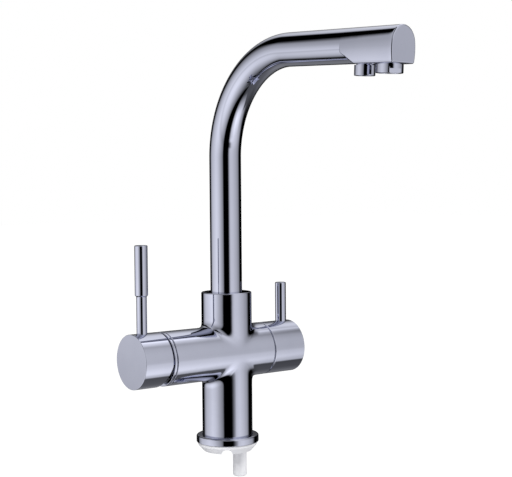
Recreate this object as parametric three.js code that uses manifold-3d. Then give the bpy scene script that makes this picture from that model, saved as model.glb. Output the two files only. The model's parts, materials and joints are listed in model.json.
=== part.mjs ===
// A three way filtered water tap: a mixer lever for hot and cold water, a second lever for
// filtered water, and one swivel spout that keeps the two waters apart up to its two outlets.
// Millimetres, +Z up. The origin is on the worktop, under the middle of the body. The spout
// points along -Y, the mixer lever stands at -X and the filtered-water lever at +X.
import * as THREE from "three";
import { mergeVertices } from "three/addons/utils/BufferGeometryUtils.js";
import Module from "manifold-3d";

const wasm = await Module();
wasm.setup();

// ---------------------------------------------------------------- driving dimensions
const GAP = 0.3; // clearance between pieces that touch, turn or slide on each other
const COARSE = 16; // sides of a small round piece
const MEDIUM = 24; // sides of a rod or a valve's housing
const FINE = 40; // sides of a large round piece

const body = { r: 22.3, armR: 23.5, axisHeight: 79.6, height: 133.3, left: 68.2, right: 36.8, edge: 1 };
const flange = {
  r: body.r + 5.4,
  height: 6.4,
  edge: 1.2,
  boreR: body.r - 2.8,
  grooveR: body.r - 1.9, // inner side of the groove for the rubber ring under the body
  ledge: 3,
};
const gasket = {
  height: 8,
  topR: flange.r - 1.4,
  taper: 5.1,
  taperHeight: 5.5,
  boreR: flange.boreR - 1.3,
  notches: 3,
  notchAngle: 232, // degrees from +X to the first notch
  notchR: 4.7,
};
const port = {
  pitchR: 11.2, // of the circle that the hot, cold and filtered inlets stand on
  r: 4.8,
  depth: 15,
  hotAngle: 120, // degrees from +X, and the cold inlet mirrored
  filterAngle: -21,
  studR: 3.4,
  studDepth: 22,
};
const drill = { waterR: 3.5, pureR: 2.8, returnR: 2.4, inletTop: -5, returnZ: -10, returnY: 5 };
const stem = { r: 6.1, boreR: 4, below: 24, inside: 14, endRound: 1.9, ringDepth: 1.1 };

const spout = { r: 14, wall: 1.2, bendR: 87.4, bendStart: 251.6, bendAngle: 92.94, arm: 131.6, seat: 5 };
const head = {
  length: 56,
  taper: 1.3,
  springing: 8, // degrees above level where the round top passes into the flatter sides
  sideR: 46,
  bottom: spout.r + 0.8,
  corner: 1.8,
  edge: 1,
};
const slant = { start: 5.9, run: 14 }; // where the head's sloping rear edge leaves the tube, and its run
const mixedOutlet = { fromEnd: 14.4, r: 10.5, drop: 21.9, boreR: 8 };
const spannerFlat = { depth: 1.06, height: 3.4, angle: 18 }; // on the mixed outlet's lower edge
const filteredOutlet = { fromEnd: 41.5, r: 8.2, drop: 23.3, boreR: 5.6 };
const outletSeat = 6; // depth of the outlets' threaded sockets in the head
const waterway = { mixedRise: 5.2, mixedR: 4.4, chamberR: 9, filteredDrop: 5.6, tubeR: 4, tubeWall: 1 };

const cap = { r: 23.45, wall: 2.15, end: 3, edge: 0.5, hubR: 8.5 };
const mixer = {
  rear: 72,
  front: 100,
  hubFrom: 82,
  leverX: 89.05,
  leverR: 4.5,
  gripR: 5.6,
  gripFrom: 55,
  top: 98.2,
  tilt: 17, // degrees that the lever lifts
  scoopStart: 0.3, // how far below the axis the cap's sloping rear edge begins
  pivot: 62, // distance of the tilt pin from the body's axis
};
const filter = { rear: 37.4, front: 70.9, leverX: 61.8, leverR: 5, top: 58.7 };
const shroud = {
  seam: 0.6,
  width: 2.3,
  clearance: 0.6, // between the dome and the cap's inner rear edge as the lever lifts
  domeWall: 2,
  reach: 16.1, // how far the dome goes beyond the pivot
};
shroud.domeR = Math.hypot(mixer.rear - mixer.pivot, cap.r - cap.wall) - shroud.clearance;
const cartridge = { r: 17, floor: 38, wall: 2.5, neckR: 12.5, portR: 3, slideArm: 10 };
cartridge.innerR = cartridge.r - cartridge.wall;
cartridge.nutSeatR = cartridge.r + 2;
const valve = { r: 9.2, chamberR: 13, floor: 16, discR: 7.1, spindleR: 3.9, neckR: 6.6, portR: 1.9 };
const ferrule = { boreR: spout.r - 3.5, retainerDepth: 1.6, slideDepth: 1.4 };
const spigot = { r: 4.2, boreR: 2.6, seat: 4, length: 25, sealAt: 17 };
const screw = { r: 2, length: 4.4 }; // the set screws under the handles
const ring = { sectionR: 0.75 }; // the rubber ring under the body

// Heights that follow from the sizes above
const flangeZ = gasket.height;
const bodyZ = flangeZ + flange.ledge + GAP;
const axisZ = flangeZ + body.axisHeight;
const neckZ = flangeZ + body.height;
const bendZ = flangeZ + spout.bendStart;
const socketZ = neckZ - 29; // floor of the spout's socket in the neck
const mixedFloorZ = axisZ + 6; // floor of the mixed water's chamber below the socket
const retainer = { r: 2.3, tip: spout.r - 0.8, end: body.r - 1.7, z: neckZ - 14 }; // at the back of the neck
const tilt = THREE.MathUtils.degToRad(mixer.tilt);

// ---------------------------------------------------------------- finishes
const finish = (color, metalness, roughness) =>
  new THREE.MeshStandardMaterial({ color, metalness, roughness });
const chrome = finish(0xc9cad6, 1, 0.06);
const brass = finish(0xc8a45a, 1, 0.35);
const whitePlastic = finish(0xeeeef0, 0, 0.35);
const greyPlastic = finish(0x9a9ca3, 0, 0.5);
const rubber = finish(0x1c1c1e, 0, 0.85);
const ceramic = finish(0xf4f2ec, 0, 0.2);
const steel = finish(0x8f9196, 1, 0.4);

// ---------------------------------------------------------------- geometry helpers
// A round piece about Z. The outline is a list of [radius, z] that starts and ends on the axis,
// or, for a ring or a cup, goes once round the section.
function turned(outline, sides = COARSE) {
  const points = outline.map(([r, z]) => new THREE.Vector2(r, z));
  const startsOffAxis = outline[0][0] > 0;
  if (THREE.ShapeUtils.area(points) < 0) points.reverse();
  if (startsOffAxis) points.push(points[0].clone());
  return new THREE.LatheGeometry(points, sides).rotateX(Math.PI / 2);
}

// The same about X, with the outline as a list of [radius, x].
const turnedX = (outline, sides) => turned(outline, sides).rotateY(Math.PI / 2);

// A ring with a rectangular section, about Z.
const washer = (inner, outer, from, to, sides) =>
  turned([[inner, from], [outer, from], [outer, to], [inner, to]], sides);
const washerX = (inner, outer, from, to, sides) =>
  washer(inner, outer, from, to, sides).rotateY(Math.PI / 2);

// A rubber ring about Z with a round section.
function oRing(meanR, sectionR, z, sides = COARSE) {
  const outline = [];
  for (let i = 0; i < 6; i++) {
    const angle = (i * Math.PI) / 3;
    outline.push([meanR + sectionR * Math.cos(angle), z + sectionR * Math.sin(angle)]);
  }
  return turned(outline, sides);
}

// A cylinder of radius r between two points.
function rod(r, from, to, sides = COARSE) {
  const start = new THREE.Vector3(...from);
  const end = new THREE.Vector3(...to);
  const along = end.clone().sub(start);
  const turn = new THREE.Quaternion();
  turn.setFromUnitVectors(new THREE.Vector3(0, 1, 0), along.clone().normalize());
  const middle = start.add(end).multiplyScalar(0.5);
  return new THREE.CylinderGeometry(r, r, along.length(), sides)
    .applyQuaternion(turn)
    .translate(middle.x, middle.y, middle.z);
}

// A box given by its low and high corners.
function block(low, high) {
  const size = high.map((value, i) => value - low[i]);
  const middle = high.map((value, i) => (value + low[i]) / 2);
  return new THREE.BoxGeometry(...size).translate(...middle);
}

function solid(geometry) {
  const bare = geometry.clone();
  bare.deleteAttribute("normal");
  bare.deleteAttribute("uv");
  const merged = mergeVertices(bare, 1e-4);
  return new wasm.Manifold(
    new wasm.Mesh({
      numProp: 3,
      vertProperties: merged.attributes.position.array,
      triVerts: new Uint32Array(merged.index.array),
    }),
  );
}

// One geometry from a solid, less the pieces cut away.
function cutFrom(whole, cuts) {
  let made = whole;
  for (const piece of cuts) made = made.subtract(solid(piece));
  const { vertProperties, triVerts } = made.getMesh();
  const geometry = new THREE.BufferGeometry();
  geometry.setAttribute("position", new THREE.BufferAttribute(vertProperties, 3));
  geometry.setIndex(new THREE.BufferAttribute(triVerts, 1));
  geometry.computeVertexNormals();
  return geometry;
}

// One geometry from the pieces joined, less the pieces cut away.
function carved(joined, cuts = []) {
  let whole = solid(joined[0]);
  for (const piece of joined.slice(1)) whole = whole.add(solid(piece));
  return cutFrom(whole, cuts);
}

function place(group, name, geometry, material) {
  const mesh = new THREE.Mesh(geometry, material);
  mesh.name = name;
  group.add(mesh);
}

const onCircle = (r, degrees, z = 0) => {
  const angle = THREE.MathUtils.degToRad(degrees);
  return [r * Math.cos(angle), r * Math.sin(angle), z];
};

// ---------------------------------------------------------------- base
function addBase(tap) {
  const ringOutline = [
    [gasket.boreR, 0],
    [gasket.topR - gasket.taper, 0],
    [gasket.topR, gasket.taperHeight],
    [gasket.topR, flangeZ - GAP],
    [gasket.boreR, flangeZ - GAP],
  ];
  const notches = [];
  for (let i = 0; i < gasket.notches; i++) {
    const angle = gasket.notchAngle + (360 * i) / gasket.notches;
    const [inside, outside] = [onCircle(gasket.boreR - 2, angle), onCircle(gasket.topR + 1, angle)];
    notches.push(rod(gasket.notchR, inside, outside));
  }
  place(tap, "base_gasket", carved([turned(ringOutline, FINE)], notches), whitePlastic);

  const top = flangeZ + flange.height;
  const ledgeZ = flangeZ + flange.ledge;
  const seat = body.r + GAP;
  const grooveOuterR = flange.grooveR + 2 * ring.sectionR + 0.2;
  const grooveZ = ledgeZ - 2 * ring.sectionR - 0.1;
  const flangeOutline = [
    [flange.boreR, flangeZ],
    [flange.r - 0.4, flangeZ],
    [flange.r, flangeZ + 0.4],
    [flange.r, top - flange.edge],
    [flange.r - 0.35 * flange.edge, top - 0.35 * flange.edge],
    [flange.r - flange.edge, top],
    [seat, top],
    [seat, ledgeZ],
    [grooveOuterR, ledgeZ],
    [grooveOuterR, grooveZ],
    [flange.grooveR, grooveZ],
    [flange.grooveR, ledgeZ],
    [flange.boreR, ledgeZ],
  ];
  place(tap, "base_flange", turned(flangeOutline, FINE), chrome);
  const ringR = (flange.grooveR + grooveOuterR) / 2;
  place(tap, "flange_oring", oRing(ringR, ring.sectionR, ledgeZ - ring.sectionR, FINE), rubber);
}

// The white stem that brings the filtered water in from below the worktop.
function addFilterStem(tap) {
  const [x, y] = onCircle(port.pitchR, port.filterAngle);
  const top = bodyZ + stem.inside;
  const grooveZ = top - 5;
  const groove = 2.1;
  const outline = [
    [stem.boreR, -stem.below],
    [stem.r - stem.endRound, -stem.below],
    [stem.r - 0.3 * stem.endRound, -stem.below + 0.3 * stem.endRound],
    [stem.r, -stem.below + stem.endRound],
    [stem.r, grooveZ],
    [stem.r - stem.ringDepth - 0.3, grooveZ],
    [stem.r - stem.ringDepth - 0.3, grooveZ + groove],
    [stem.r, grooveZ + groove],
    [stem.r, top],
    [stem.boreR, top],
  ];
  place(tap, "filter_inlet_stem", turned(outline).translate(x, y, 0), whitePlastic);
  const section = 0.7;
  const ringR = stem.r + 0.1 - section;
  const seal = oRing(ringR, section, grooveZ + groove / 2).translate(x, y, 0);
  place(tap, "stem_oring", seal, rubber);
}

// ---------------------------------------------------------------- body casting
function addBody(tap) {
  const bodyOutline = [
    [0, bodyZ],
    [body.r, bodyZ],
    [body.r, neckZ - body.edge],
    [body.r - 0.3 * body.edge, neckZ - 0.3 * body.edge],
    [body.r - body.edge, neckZ],
    [0, neckZ],
  ];
  const armOutline = [
    [0, -body.left],
    [body.armR - 0.3, -body.left],
    [body.armR, -body.left + 0.3],
    [body.armR, body.right - 0.3],
    [body.armR - 0.3, body.right],
    [0, body.right],
  ];
  const arm = turnedX(armOutline, FINE).translate(0, 0, axisZ);

  const past = 2; // how far a cutter runs on through an open face
  const outside = -body.left - past;
  const chamber = rod(cartridge.r + GAP, [outside, 0, axisZ], [-cartridge.floor, 0, axisZ], FINE);
  const nutSeat = rod(cartridge.nutSeatR, [outside, 0, axisZ], [-housingTop, 0, axisZ], FINE);
  const valveChamber = rod(valve.chamberR, [valve.floor, 0, axisZ], [body.right + past, 0, axisZ]);
  const socket = rod(spout.r + GAP, [0, 0, socketZ], [0, 0, neckZ + past], FINE);
  const mixedChamber = rod(waterway.chamberR, [0, 0, mixedFloorZ], [0, 0, socketZ + past]);
  const stud = rod(port.studR, [0, 0, bodyZ - past], [0, 0, bodyZ + port.studDepth]);
  const spigotSeat = rod(spigot.r + GAP, [0, 0, mixedFloorZ - spigot.seat], [0, 0, mixedFloorZ + 1]);
  const screwHole = rod(retainer.r + GAP, [0, spout.r - 1, retainer.z], [0, body.r + past, retainer.z]);
  const cuts = [chamber, nutSeat, valveChamber, socket, mixedChamber, stud, spigotSeat, screwHole];

  // The water's ways. Each runs from the middle of one hollow into the next.
  const [outlet, ...inlets] = ports.map(([y, z]) => [-cartridge.floor - 1, y, axisZ + z]);
  cuts.push(rod(drill.waterR, outlet, [2 - waterway.chamberR, 0, mixedFloorZ + 2.5]));
  for (const [i, angle] of [port.hotAngle, -port.hotAngle].entries()) {
    const [x, y] = onCircle(port.pitchR, angle);
    const topZ = axisZ + drill.inletTop;
    cuts.push(rod(port.r, [x, y, bodyZ - past], [x, y, bodyZ + port.depth]));
    cuts.push(rod(drill.waterR, [x, y, bodyZ + port.depth - 1], [x, y, topZ]));
    cuts.push(rod(drill.waterR - 0.6, [x, y, topZ - drill.waterR], inlets[i]));
  }
  const [stemX, stemY] = onCircle(port.pitchR, port.filterAngle);
  const stemTop = bodyZ + stem.inside;
  const inX = valve.floor + 1;
  const { returnY } = drill;
  const returnZ = axisZ + drill.returnZ;
  cuts.push(
    rod(stem.r + GAP, [stemX, stemY, bodyZ - past], [stemX, stemY, stemTop + 1]),
    rod(drill.pureR, [stemX, stemY, stemTop], [stemX, stemY, axisZ + 2]),
    rod(drill.pureR, [stemX, stemY, axisZ], [inX, stemY, axisZ]),
    rod(drill.returnR, [inX, returnY, returnZ], [-1, returnY, returnZ]),
    rod(drill.returnR, [0, returnY + 1, returnZ], [0, -1, returnZ]),
    rod(drill.returnR, [0, 0, returnZ - 1], [0, 0, mixedFloorZ]),
  );
  place(tap, "body_casting", carved([turned(bodyOutline, FINE), arm], cuts), chrome);

  // The screw at the back of the neck that keeps the spout in.
  const { tip, end } = retainer;
  const screwOutline = [
    [0, -tip],
    [1.2, -tip],
    [retainer.r, -tip - 2.2],
    [retainer.r, -end],
    [0, -end],
  ];
  const shaft = turned(screwOutline).rotateX(Math.PI / 2).translate(0, 0, retainer.z);
  const hexagon = rod(1.2, [0, end - 2.4, retainer.z], [0, end + 1, retainer.z], 6);
  place(tap, "spout_retaining_screw", carved([shaft], [hexagon]), steel);
}

// The brass pipe that hands the filtered water up into the turning spout.
function addSpigot(tap) {
  const low = mixedFloorZ - spigot.seat + GAP;
  const high = mixedFloorZ + spigot.length;
  const sealZ = mixedFloorZ + spigot.sealAt;
  const grooveR = spigot.r - 1;
  const outline = [
    [spigot.boreR, low],
    [spigot.r, low],
    [spigot.r, sealZ - 0.8],
    [grooveR, sealZ - 0.8],
    [grooveR, sealZ + 0.8],
    [spigot.r, sealZ + 0.8],
    [spigot.r, high],
    [spigot.boreR, high],
  ];
  place(tap, "filter_spigot", turned(outline), brass);
  place(tap, "spigot_oring", oRing(grooveR + 0.65, 0.5, sealZ), rubber);
}

// ---------------------------------------------------------------- spout
// The spout's middle line, or a line beside it, on the inside of the bend by the offset.
// Its parameter spends one step on each straight run and the rest on the bend.
class SpoutLine extends THREE.Curve {
  constructor(startZ, armEnd, bendSteps, offset = 0) {
    super();
    this.startZ = startZ;
    this.armEnd = armEnd;
    this.bendSteps = bendSteps;
    this.offset = offset;
  }

  getUtoTmapping(u) {
    return u;
  }

  getPoint(t, target = new THREE.Vector3()) {
    const step = t * (this.bendSteps + 2);
    const whole = THREE.MathUtils.degToRad(spout.bendAngle);
    const share = THREE.MathUtils.clamp((step - 1) / this.bendSteps, 0, 1);
    const angle = share * whole;
    const radius = spout.bendR - this.offset;
    target.set(0, radius * Math.cos(angle) - spout.bendR, bendZ + radius * Math.sin(angle));
    if (step < 1) target.z = THREE.MathUtils.lerp(this.startZ, bendZ, step);
    const pastBend = Math.max(step - 1 - this.bendSteps, 0) * this.armEnd;
    target.y -= pastBend * Math.sin(whole);
    target.z += pastBend * Math.cos(whole);
    return target;
  }
}

// A tube along a line, with an open bore.
function tubeAlong(line, r, wall, sides) {
  const section = new THREE.Shape().absarc(0, 0, r, 0, 2 * Math.PI);
  section.holes.push(new THREE.Path().absarc(0, 0, r - wall, 0, 2 * Math.PI));
  return new THREE.ExtrudeGeometry(section, {
    steps: line.bendSteps + 2,
    curveSegments: sides / 2, // a full circle takes twice as many
    extrudePath: line,
  });
}

const tubeLowZ = neckZ - spout.seat;
const spigotIntoTube = 10; // how far the ferrule and the head reach into the spout's tube
const pipeIntoHead = 2; // how far the thin pipe runs past the head's rear edge
const groove = { depth: 1.9, width: 2.6, sectionR: 1.0 };
const connector = { low: mixedFloorZ + 11, shoulder: 14.5, web: 2, length: 26, r: 6.4 };

function addSpoutFoot(spoutGroup) {
  const low = socketZ + 1.8; // the washer lies below
  const thrust = washer(ferrule.boreR + 0.1, spout.r - 0.1, socketZ + GAP, low - GAP);
  place(spoutGroup, "spout_thrust_washer", thrust, whitePlastic);

  const high = tubeLowZ - GAP;
  const insert = spout.r - spout.wall - GAP;
  const lowerRingZ = low + 3.2;
  const upperRingZ = low + 7.6;
  const slideZ = [retainer.z + 3.2, high - 1.4];
  const grooveR = spout.r - groove.depth;
  const slideR = spout.r - ferrule.slideDepth;
  const notch = (from, to, r) => [
    [spout.r, from],
    [r, from],
    [r, to],
    [spout.r, to],
  ];
  const half = groove.width / 2;
  const outline = [
    [ferrule.boreR, low],
    [spout.r, low],
    ...notch(lowerRingZ - half, lowerRingZ + half, grooveR),
    ...notch(upperRingZ - half, upperRingZ + half, grooveR),
    ...notch(retainer.z - 1.7, retainer.z + 1.7, spout.r - ferrule.retainerDepth),
    ...notch(...slideZ, slideR),
    [spout.r, high],
    [insert, high],
    [insert, high + spigotIntoTube],
    [ferrule.boreR, high + spigotIntoTube],
  ];
  place(spoutGroup, "spout_ferrule", turned(outline, MEDIUM), brass);
  const ringR = grooveR + 0.1 + groove.sectionR;
  place(spoutGroup, "spout_oring_lower", oRing(ringR, groove.sectionR, lowerRingZ, MEDIUM), rubber);
  place(spoutGroup, "spout_oring_upper", oRing(ringR, groove.sectionR, upperRingZ, MEDIUM), rubber);
  const slide = washer(slideR + GAP, spout.r + 0.1, slideZ[0] + 0.2, slideZ[1] - 0.2, MEDIUM);
  place(spoutGroup, "spout_slide_ring", slide, whitePlastic);

  const socketR = spigot.r + GAP;
  const tubeSeatR = waterway.tubeR + GAP;
  const webZ = [connector.low + connector.shoulder, connector.low + connector.shoulder + connector.web];
  const connectorOutline = [
    [socketR, connector.low],
    [connector.r, connector.low],
    [connector.r, connector.low + connector.length],
    [tubeSeatR, connector.low + connector.length],
    [tubeSeatR, webZ[1]],
    [spigot.boreR, webZ[1]],
    [spigot.boreR, webZ[0]],
    [socketR, webZ[0]],
  ];
  place(spoutGroup, "filtered_tube_connector", turned(connectorOutline), brass);
}

// The thin pipe that carries the filtered water through the spout, from the connector to the head.
class FilteredLine extends SpoutLine {
  getPoint(t, target = new THREE.Vector3()) {
    super.getPoint(t, target);
    const rise = THREE.MathUtils.clamp(t * (this.bendSteps + 2), 0, 1);
    target.y += this.offset * (1 - THREE.MathUtils.smoothstep(rise, 0.15, 0.9));
    return target;
  }
}

// The same line with several steps for its rise out of the connector, which is an S.
class SteppedFilteredLine extends THREE.Curve {
  constructor(line, riseSteps) {
    super();
    this.line = line;
    this.riseSteps = riseSteps;
    this.bendSteps = line.bendSteps + riseSteps - 1;
  }

  getUtoTmapping(u) {
    return u;
  }

  getPoint(t, target) {
    const step = t * (this.bendSteps + 2);
    const shared = step < this.riseSteps ? step / this.riseSteps : step - this.riseSteps + 1;
    return this.line.getPoint(shared / (this.line.bendSteps + 2), target);
  }
}

function addSpoutTubes(spoutGroup) {
  const outer = new SpoutLine(tubeLowZ, spout.arm - head.length - GAP, 14);
  place(spoutGroup, "spout_tube", tubeAlong(outer, spout.r, spout.wall, 32), chrome);

  const start = connector.low + connector.shoulder + connector.web + GAP;
  const end = spout.arm - head.length + pipeIntoHead - GAP;
  const inner = new FilteredLine(start, end, 12, waterway.filteredDrop);
  const stepped = new SteppedFilteredLine(inner, 6);
  const pipe = tubeAlong(stepped, waterway.tubeR, waterway.tubeWall, 10);
  place(spoutGroup, "filtered_water_tube", pipe, whitePlastic);
}

// The cast head at the spout's end. In its own frame +Z runs out along the arm from the end face
// and +Y is up across it.
function addSpoutHead(spoutTip) {
  const springing = THREE.MathUtils.degToRad(head.springing);
  const centreX = (head.sideR - spout.r) * Math.cos(springing);
  const centreY = -(head.sideR - spout.r) * Math.sin(springing);
  const reach = head.sideR - head.corner;
  const foot = Math.asin((centreY + head.bottom - head.corner) / reach);
  const cornerX = reach * Math.cos(foot) - centreX;
  const cornerY = head.corner - head.bottom;
  const arch = new THREE.Shape();
  arch.absarc(0, 0, spout.r, springing, Math.PI - springing);
  arch.absarc(centreX, centreY, head.sideR, Math.PI - springing, Math.PI + foot);
  arch.absarc(-cornerX, cornerY, head.corner, Math.PI + foot, 1.5 * Math.PI);
  arch.absarc(cornerX, cornerY, head.corner, 1.5 * Math.PI, 2 * Math.PI - foot);
  arch.absarc(-centreX, centreY, head.sideR, -foot, springing);
  const spare = 4; // cut off again behind, so that only the end face has a rounded edge
  const casting = new THREE.ExtrudeGeometry(arch, {
    depth: head.length + spare - 2 * head.edge,
    curveSegments: 9,
    bevelThickness: head.edge,
    bevelSize: head.edge,
    bevelOffset: -head.edge,
    bevelSegments: 2,
  }).translate(0, 0, head.edge - head.length - spare);
  const widest = head.sideR - centreX;
  const corners = casting.attributes.position;
  for (let i = 0; i < corners.count; i++) {
    const share = Math.max(1 + corners.getZ(i) / head.length, 0);
    corners.setX(i, (corners.getX(i) * (spout.r - head.taper * share)) / widest);
  }

  // What lies behind the sloping rear edge, as an outline of [distance from the end, height].
  const behind = new THREE.Shape();
  const rear = -head.length;
  behind.moveTo(rear - 2 * spare, spout.r + spare);
  behind.lineTo(rear, spout.r + spare);
  behind.lineTo(rear, -slant.start);
  behind.lineTo(rear + slant.run, -head.bottom);
  behind.lineTo(rear + slant.run, -head.bottom - spare);
  behind.lineTo(rear - 2 * spare, -head.bottom - spare);
  const wide = 2 * spout.r + 2 * spare;
  const rearCut = new THREE.ExtrudeGeometry(behind, { depth: wide, bevelEnabled: false })
    .translate(0, 0, -wide / 2)
    .rotateY(-Math.PI / 2);

  // The tube's round underside runs on below the sloping edge.
  const underside = solid(rod(spout.r - 0.05, [0, 0, rear], [0, 0, rear + slant.run]))
    .subtract(solid(block([-wide, 1 - slant.start, rear - 1], [wide, wide, 0])));
  const insertR = spout.r - spout.wall - GAP;
  const insert = rod(insertR, [0, 0, rear - spigotIntoTube], [0, 0, rear + 1], MEDIUM);

  const mixedZ = -mixedOutlet.fromEnd;
  const filteredZ = -filteredOutlet.fromEnd;
  const start = rear - spigotIntoTube - 1;
  const low = -head.bottom - 1;
  const seatY = outletSeat - head.bottom;
  const mixedY = waterway.mixedRise;
  const filteredY = -waterway.filteredDrop;
  const cuts = [
    rod(waterway.mixedR, [0, mixedY, start], [0, mixedY, mixedZ]),
    rod(6, [0, mixedY, mixedZ], [0, low, mixedZ]),
    rod(screwIn(mixedOutlet) + GAP, [0, seatY, mixedZ], [0, low, mixedZ]),
    rod(waterway.tubeR + GAP, [0, filteredY, start], [0, filteredY, rear + pipeIntoHead]),
    rod(waterway.tubeR - waterway.tubeWall, [0, filteredY, rear + 1], [0, filteredY, filteredZ]),
    rod(waterway.tubeR - waterway.tubeWall, [0, filteredY, filteredZ], [0, low, filteredZ]),
    rod(screwIn(filteredOutlet) + GAP, [0, seatY, filteredZ], [0, low, filteredZ]),
  ];
  const whole = solid(casting).subtract(solid(rearCut)).add(underside).add(solid(insert));
  place(spoutTip, "spout_head", cutFrom(whole, cuts), chrome);
}

const screwIn = (outlet) => outlet.boreR + 1.1; // radius of an outlet's threaded neck

// An outlet housing under the head: a neck screwed into it and a round body below. Outlines run
// along the spout tip's -Y.
function outletHousing(outlet) {
  const neckR = screwIn(outlet);
  const shoulder = -head.bottom - GAP;
  const outline = [
    [outlet.boreR, -outlet.drop],
    [outlet.r - 0.5, -outlet.drop],
    [outlet.r, -outlet.drop + 0.5],
    [outlet.r, shoulder],
    [neckR, shoulder],
    [neckR, shoulder + outletSeat - 1],
    [outlet.boreR, shoulder + outletSeat - 1],
  ];
  return turned(outline, MEDIUM);
}

// The insert in an outlet's mouth: a disc with one hole in the middle and a ring of holes round it.
function outletInsert(outlet, recess, count, holes) {
  const [below, above] = [-outlet.drop - 1, -outlet.drop + 6];
  const jets = [rod(holes.middle, [0, 0, below], [0, 0, above], 8)];
  for (let i = 0; i < count; i++) {
    const [x, y] = onCircle(holes.pitch, (360 * i) / count);
    jets.push(rod(holes.outer, [x, y, below], [x, y, above], 8));
  }
  const disc = rod(outlet.boreR - GAP, [0, 0, -outlet.drop + recess], [0, 0, -outlet.drop + 5]);
  return carved([disc], jets);
}

// Turns a piece made about Z, with its drop along -Z, to hang along -Y at a place along the arm.
const hung = (geometry, fromEnd) => geometry.rotateX(-Math.PI / 2).translate(0, 0, -fromEnd);

function addOutlets(spoutTip) {
  const out = mixedOutlet;
  const flats = [];
  for (const half of [0, 180]) {
    const low = [-out.r, out.r - spannerFlat.depth, -out.drop - 1];
    const flat = block(low, [out.r, out.r + 2, spannerFlat.height - out.drop]);
    flats.push(flat.rotateZ(THREE.MathUtils.degToRad(half - spannerFlat.angle)));
  }
  const aerator = carved([outletHousing(out)], flats);
  place(spoutTip, "aerator_housing", hung(aerator, out.fromEnd), chrome);
  const mixedInsert = outletInsert(out, 0.6, 8, { middle: 1.6, outer: 1.1, pitch: 4.9 });
  place(spoutTip, "aerator_insert", hung(mixedInsert, out.fromEnd), whitePlastic);
  const sealTop = -head.bottom + outletSeat - GAP;
  const housingTop = -head.bottom + outletSeat - 1 - GAP;
  const mixedSeal = washer(6.2, screwIn(out), housingTop + 0.2, sealTop);
  place(spoutTip, "aerator_seal", hung(mixedSeal, out.fromEnd), rubber);

  const nozzle = filteredOutlet;
  place(spoutTip, "filtered_nozzle", hung(outletHousing(nozzle), nozzle.fromEnd), chrome);
  const filteredInsert = outletInsert(nozzle, 1.2, 6, { middle: 1.1, outer: 0.9, pitch: 3.3 });
  place(spoutTip, "nozzle_insert", hung(filteredInsert, nozzle.fromEnd), greyPlastic);
  const filteredSeal = washer(3.7, screwIn(nozzle), housingTop + 0.2, sealTop);
  place(spoutTip, "nozzle_seal", hung(filteredSeal, nozzle.fromEnd), rubber);
}

// ---------------------------------------------------------------- mixer cartridge
// Places along -X from the handle axis, each piece resting on the one before.
const baseSealX = [cartridge.floor + GAP, cartridge.floor + GAP + 1];
const baseX = [baseSealX[1] + GAP, baseSealX[1] + GAP + 3];
const fixedDiscX = [baseX[1] + GAP, baseX[1] + GAP + 3];
const movingDiscX = [fixedDiscX[1] + GAP, fixedDiscX[1] + GAP + 3];
const carrierX = [movingDiscX[1] + GAP, movingDiscX[1] + GAP + 3.6];
const rotorX = [carrierX[1] + 0.4, carrierX[1] + 3.4];
const housingTop = rotorX[1] + GAP + 1.7; // where the housing's shoulder meets the nut
const neckEnd = mixer.pivot + 2;
const rotorNeckR = cartridge.neckR - 3.3;
const stemHalf = 3.5; // half the width of the square stem

// The cartridge's ports, as [y, z] from the handle axis: the mixed outlet, then hot and cold.
const inletPitchR = cartridge.innerR - cartridge.portR - 2.8;
const pocketR = cartridge.innerR / 2;
const inletAngle = THREE.MathUtils.degToRad(40);
const ports = [
  [0, -pocketR + 2.2],
  [inletPitchR * Math.sin(inletAngle), inletPitchR * Math.cos(inletAngle)],
  [-inletPitchR * Math.sin(inletAngle), inletPitchR * Math.cos(inletAngle)],
];

const portCuts = (from, to, r) =>
  ports.map(([y, z]) => rod(r, [1 - from, y, z], [-to - 1, y, z], 12));

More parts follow.
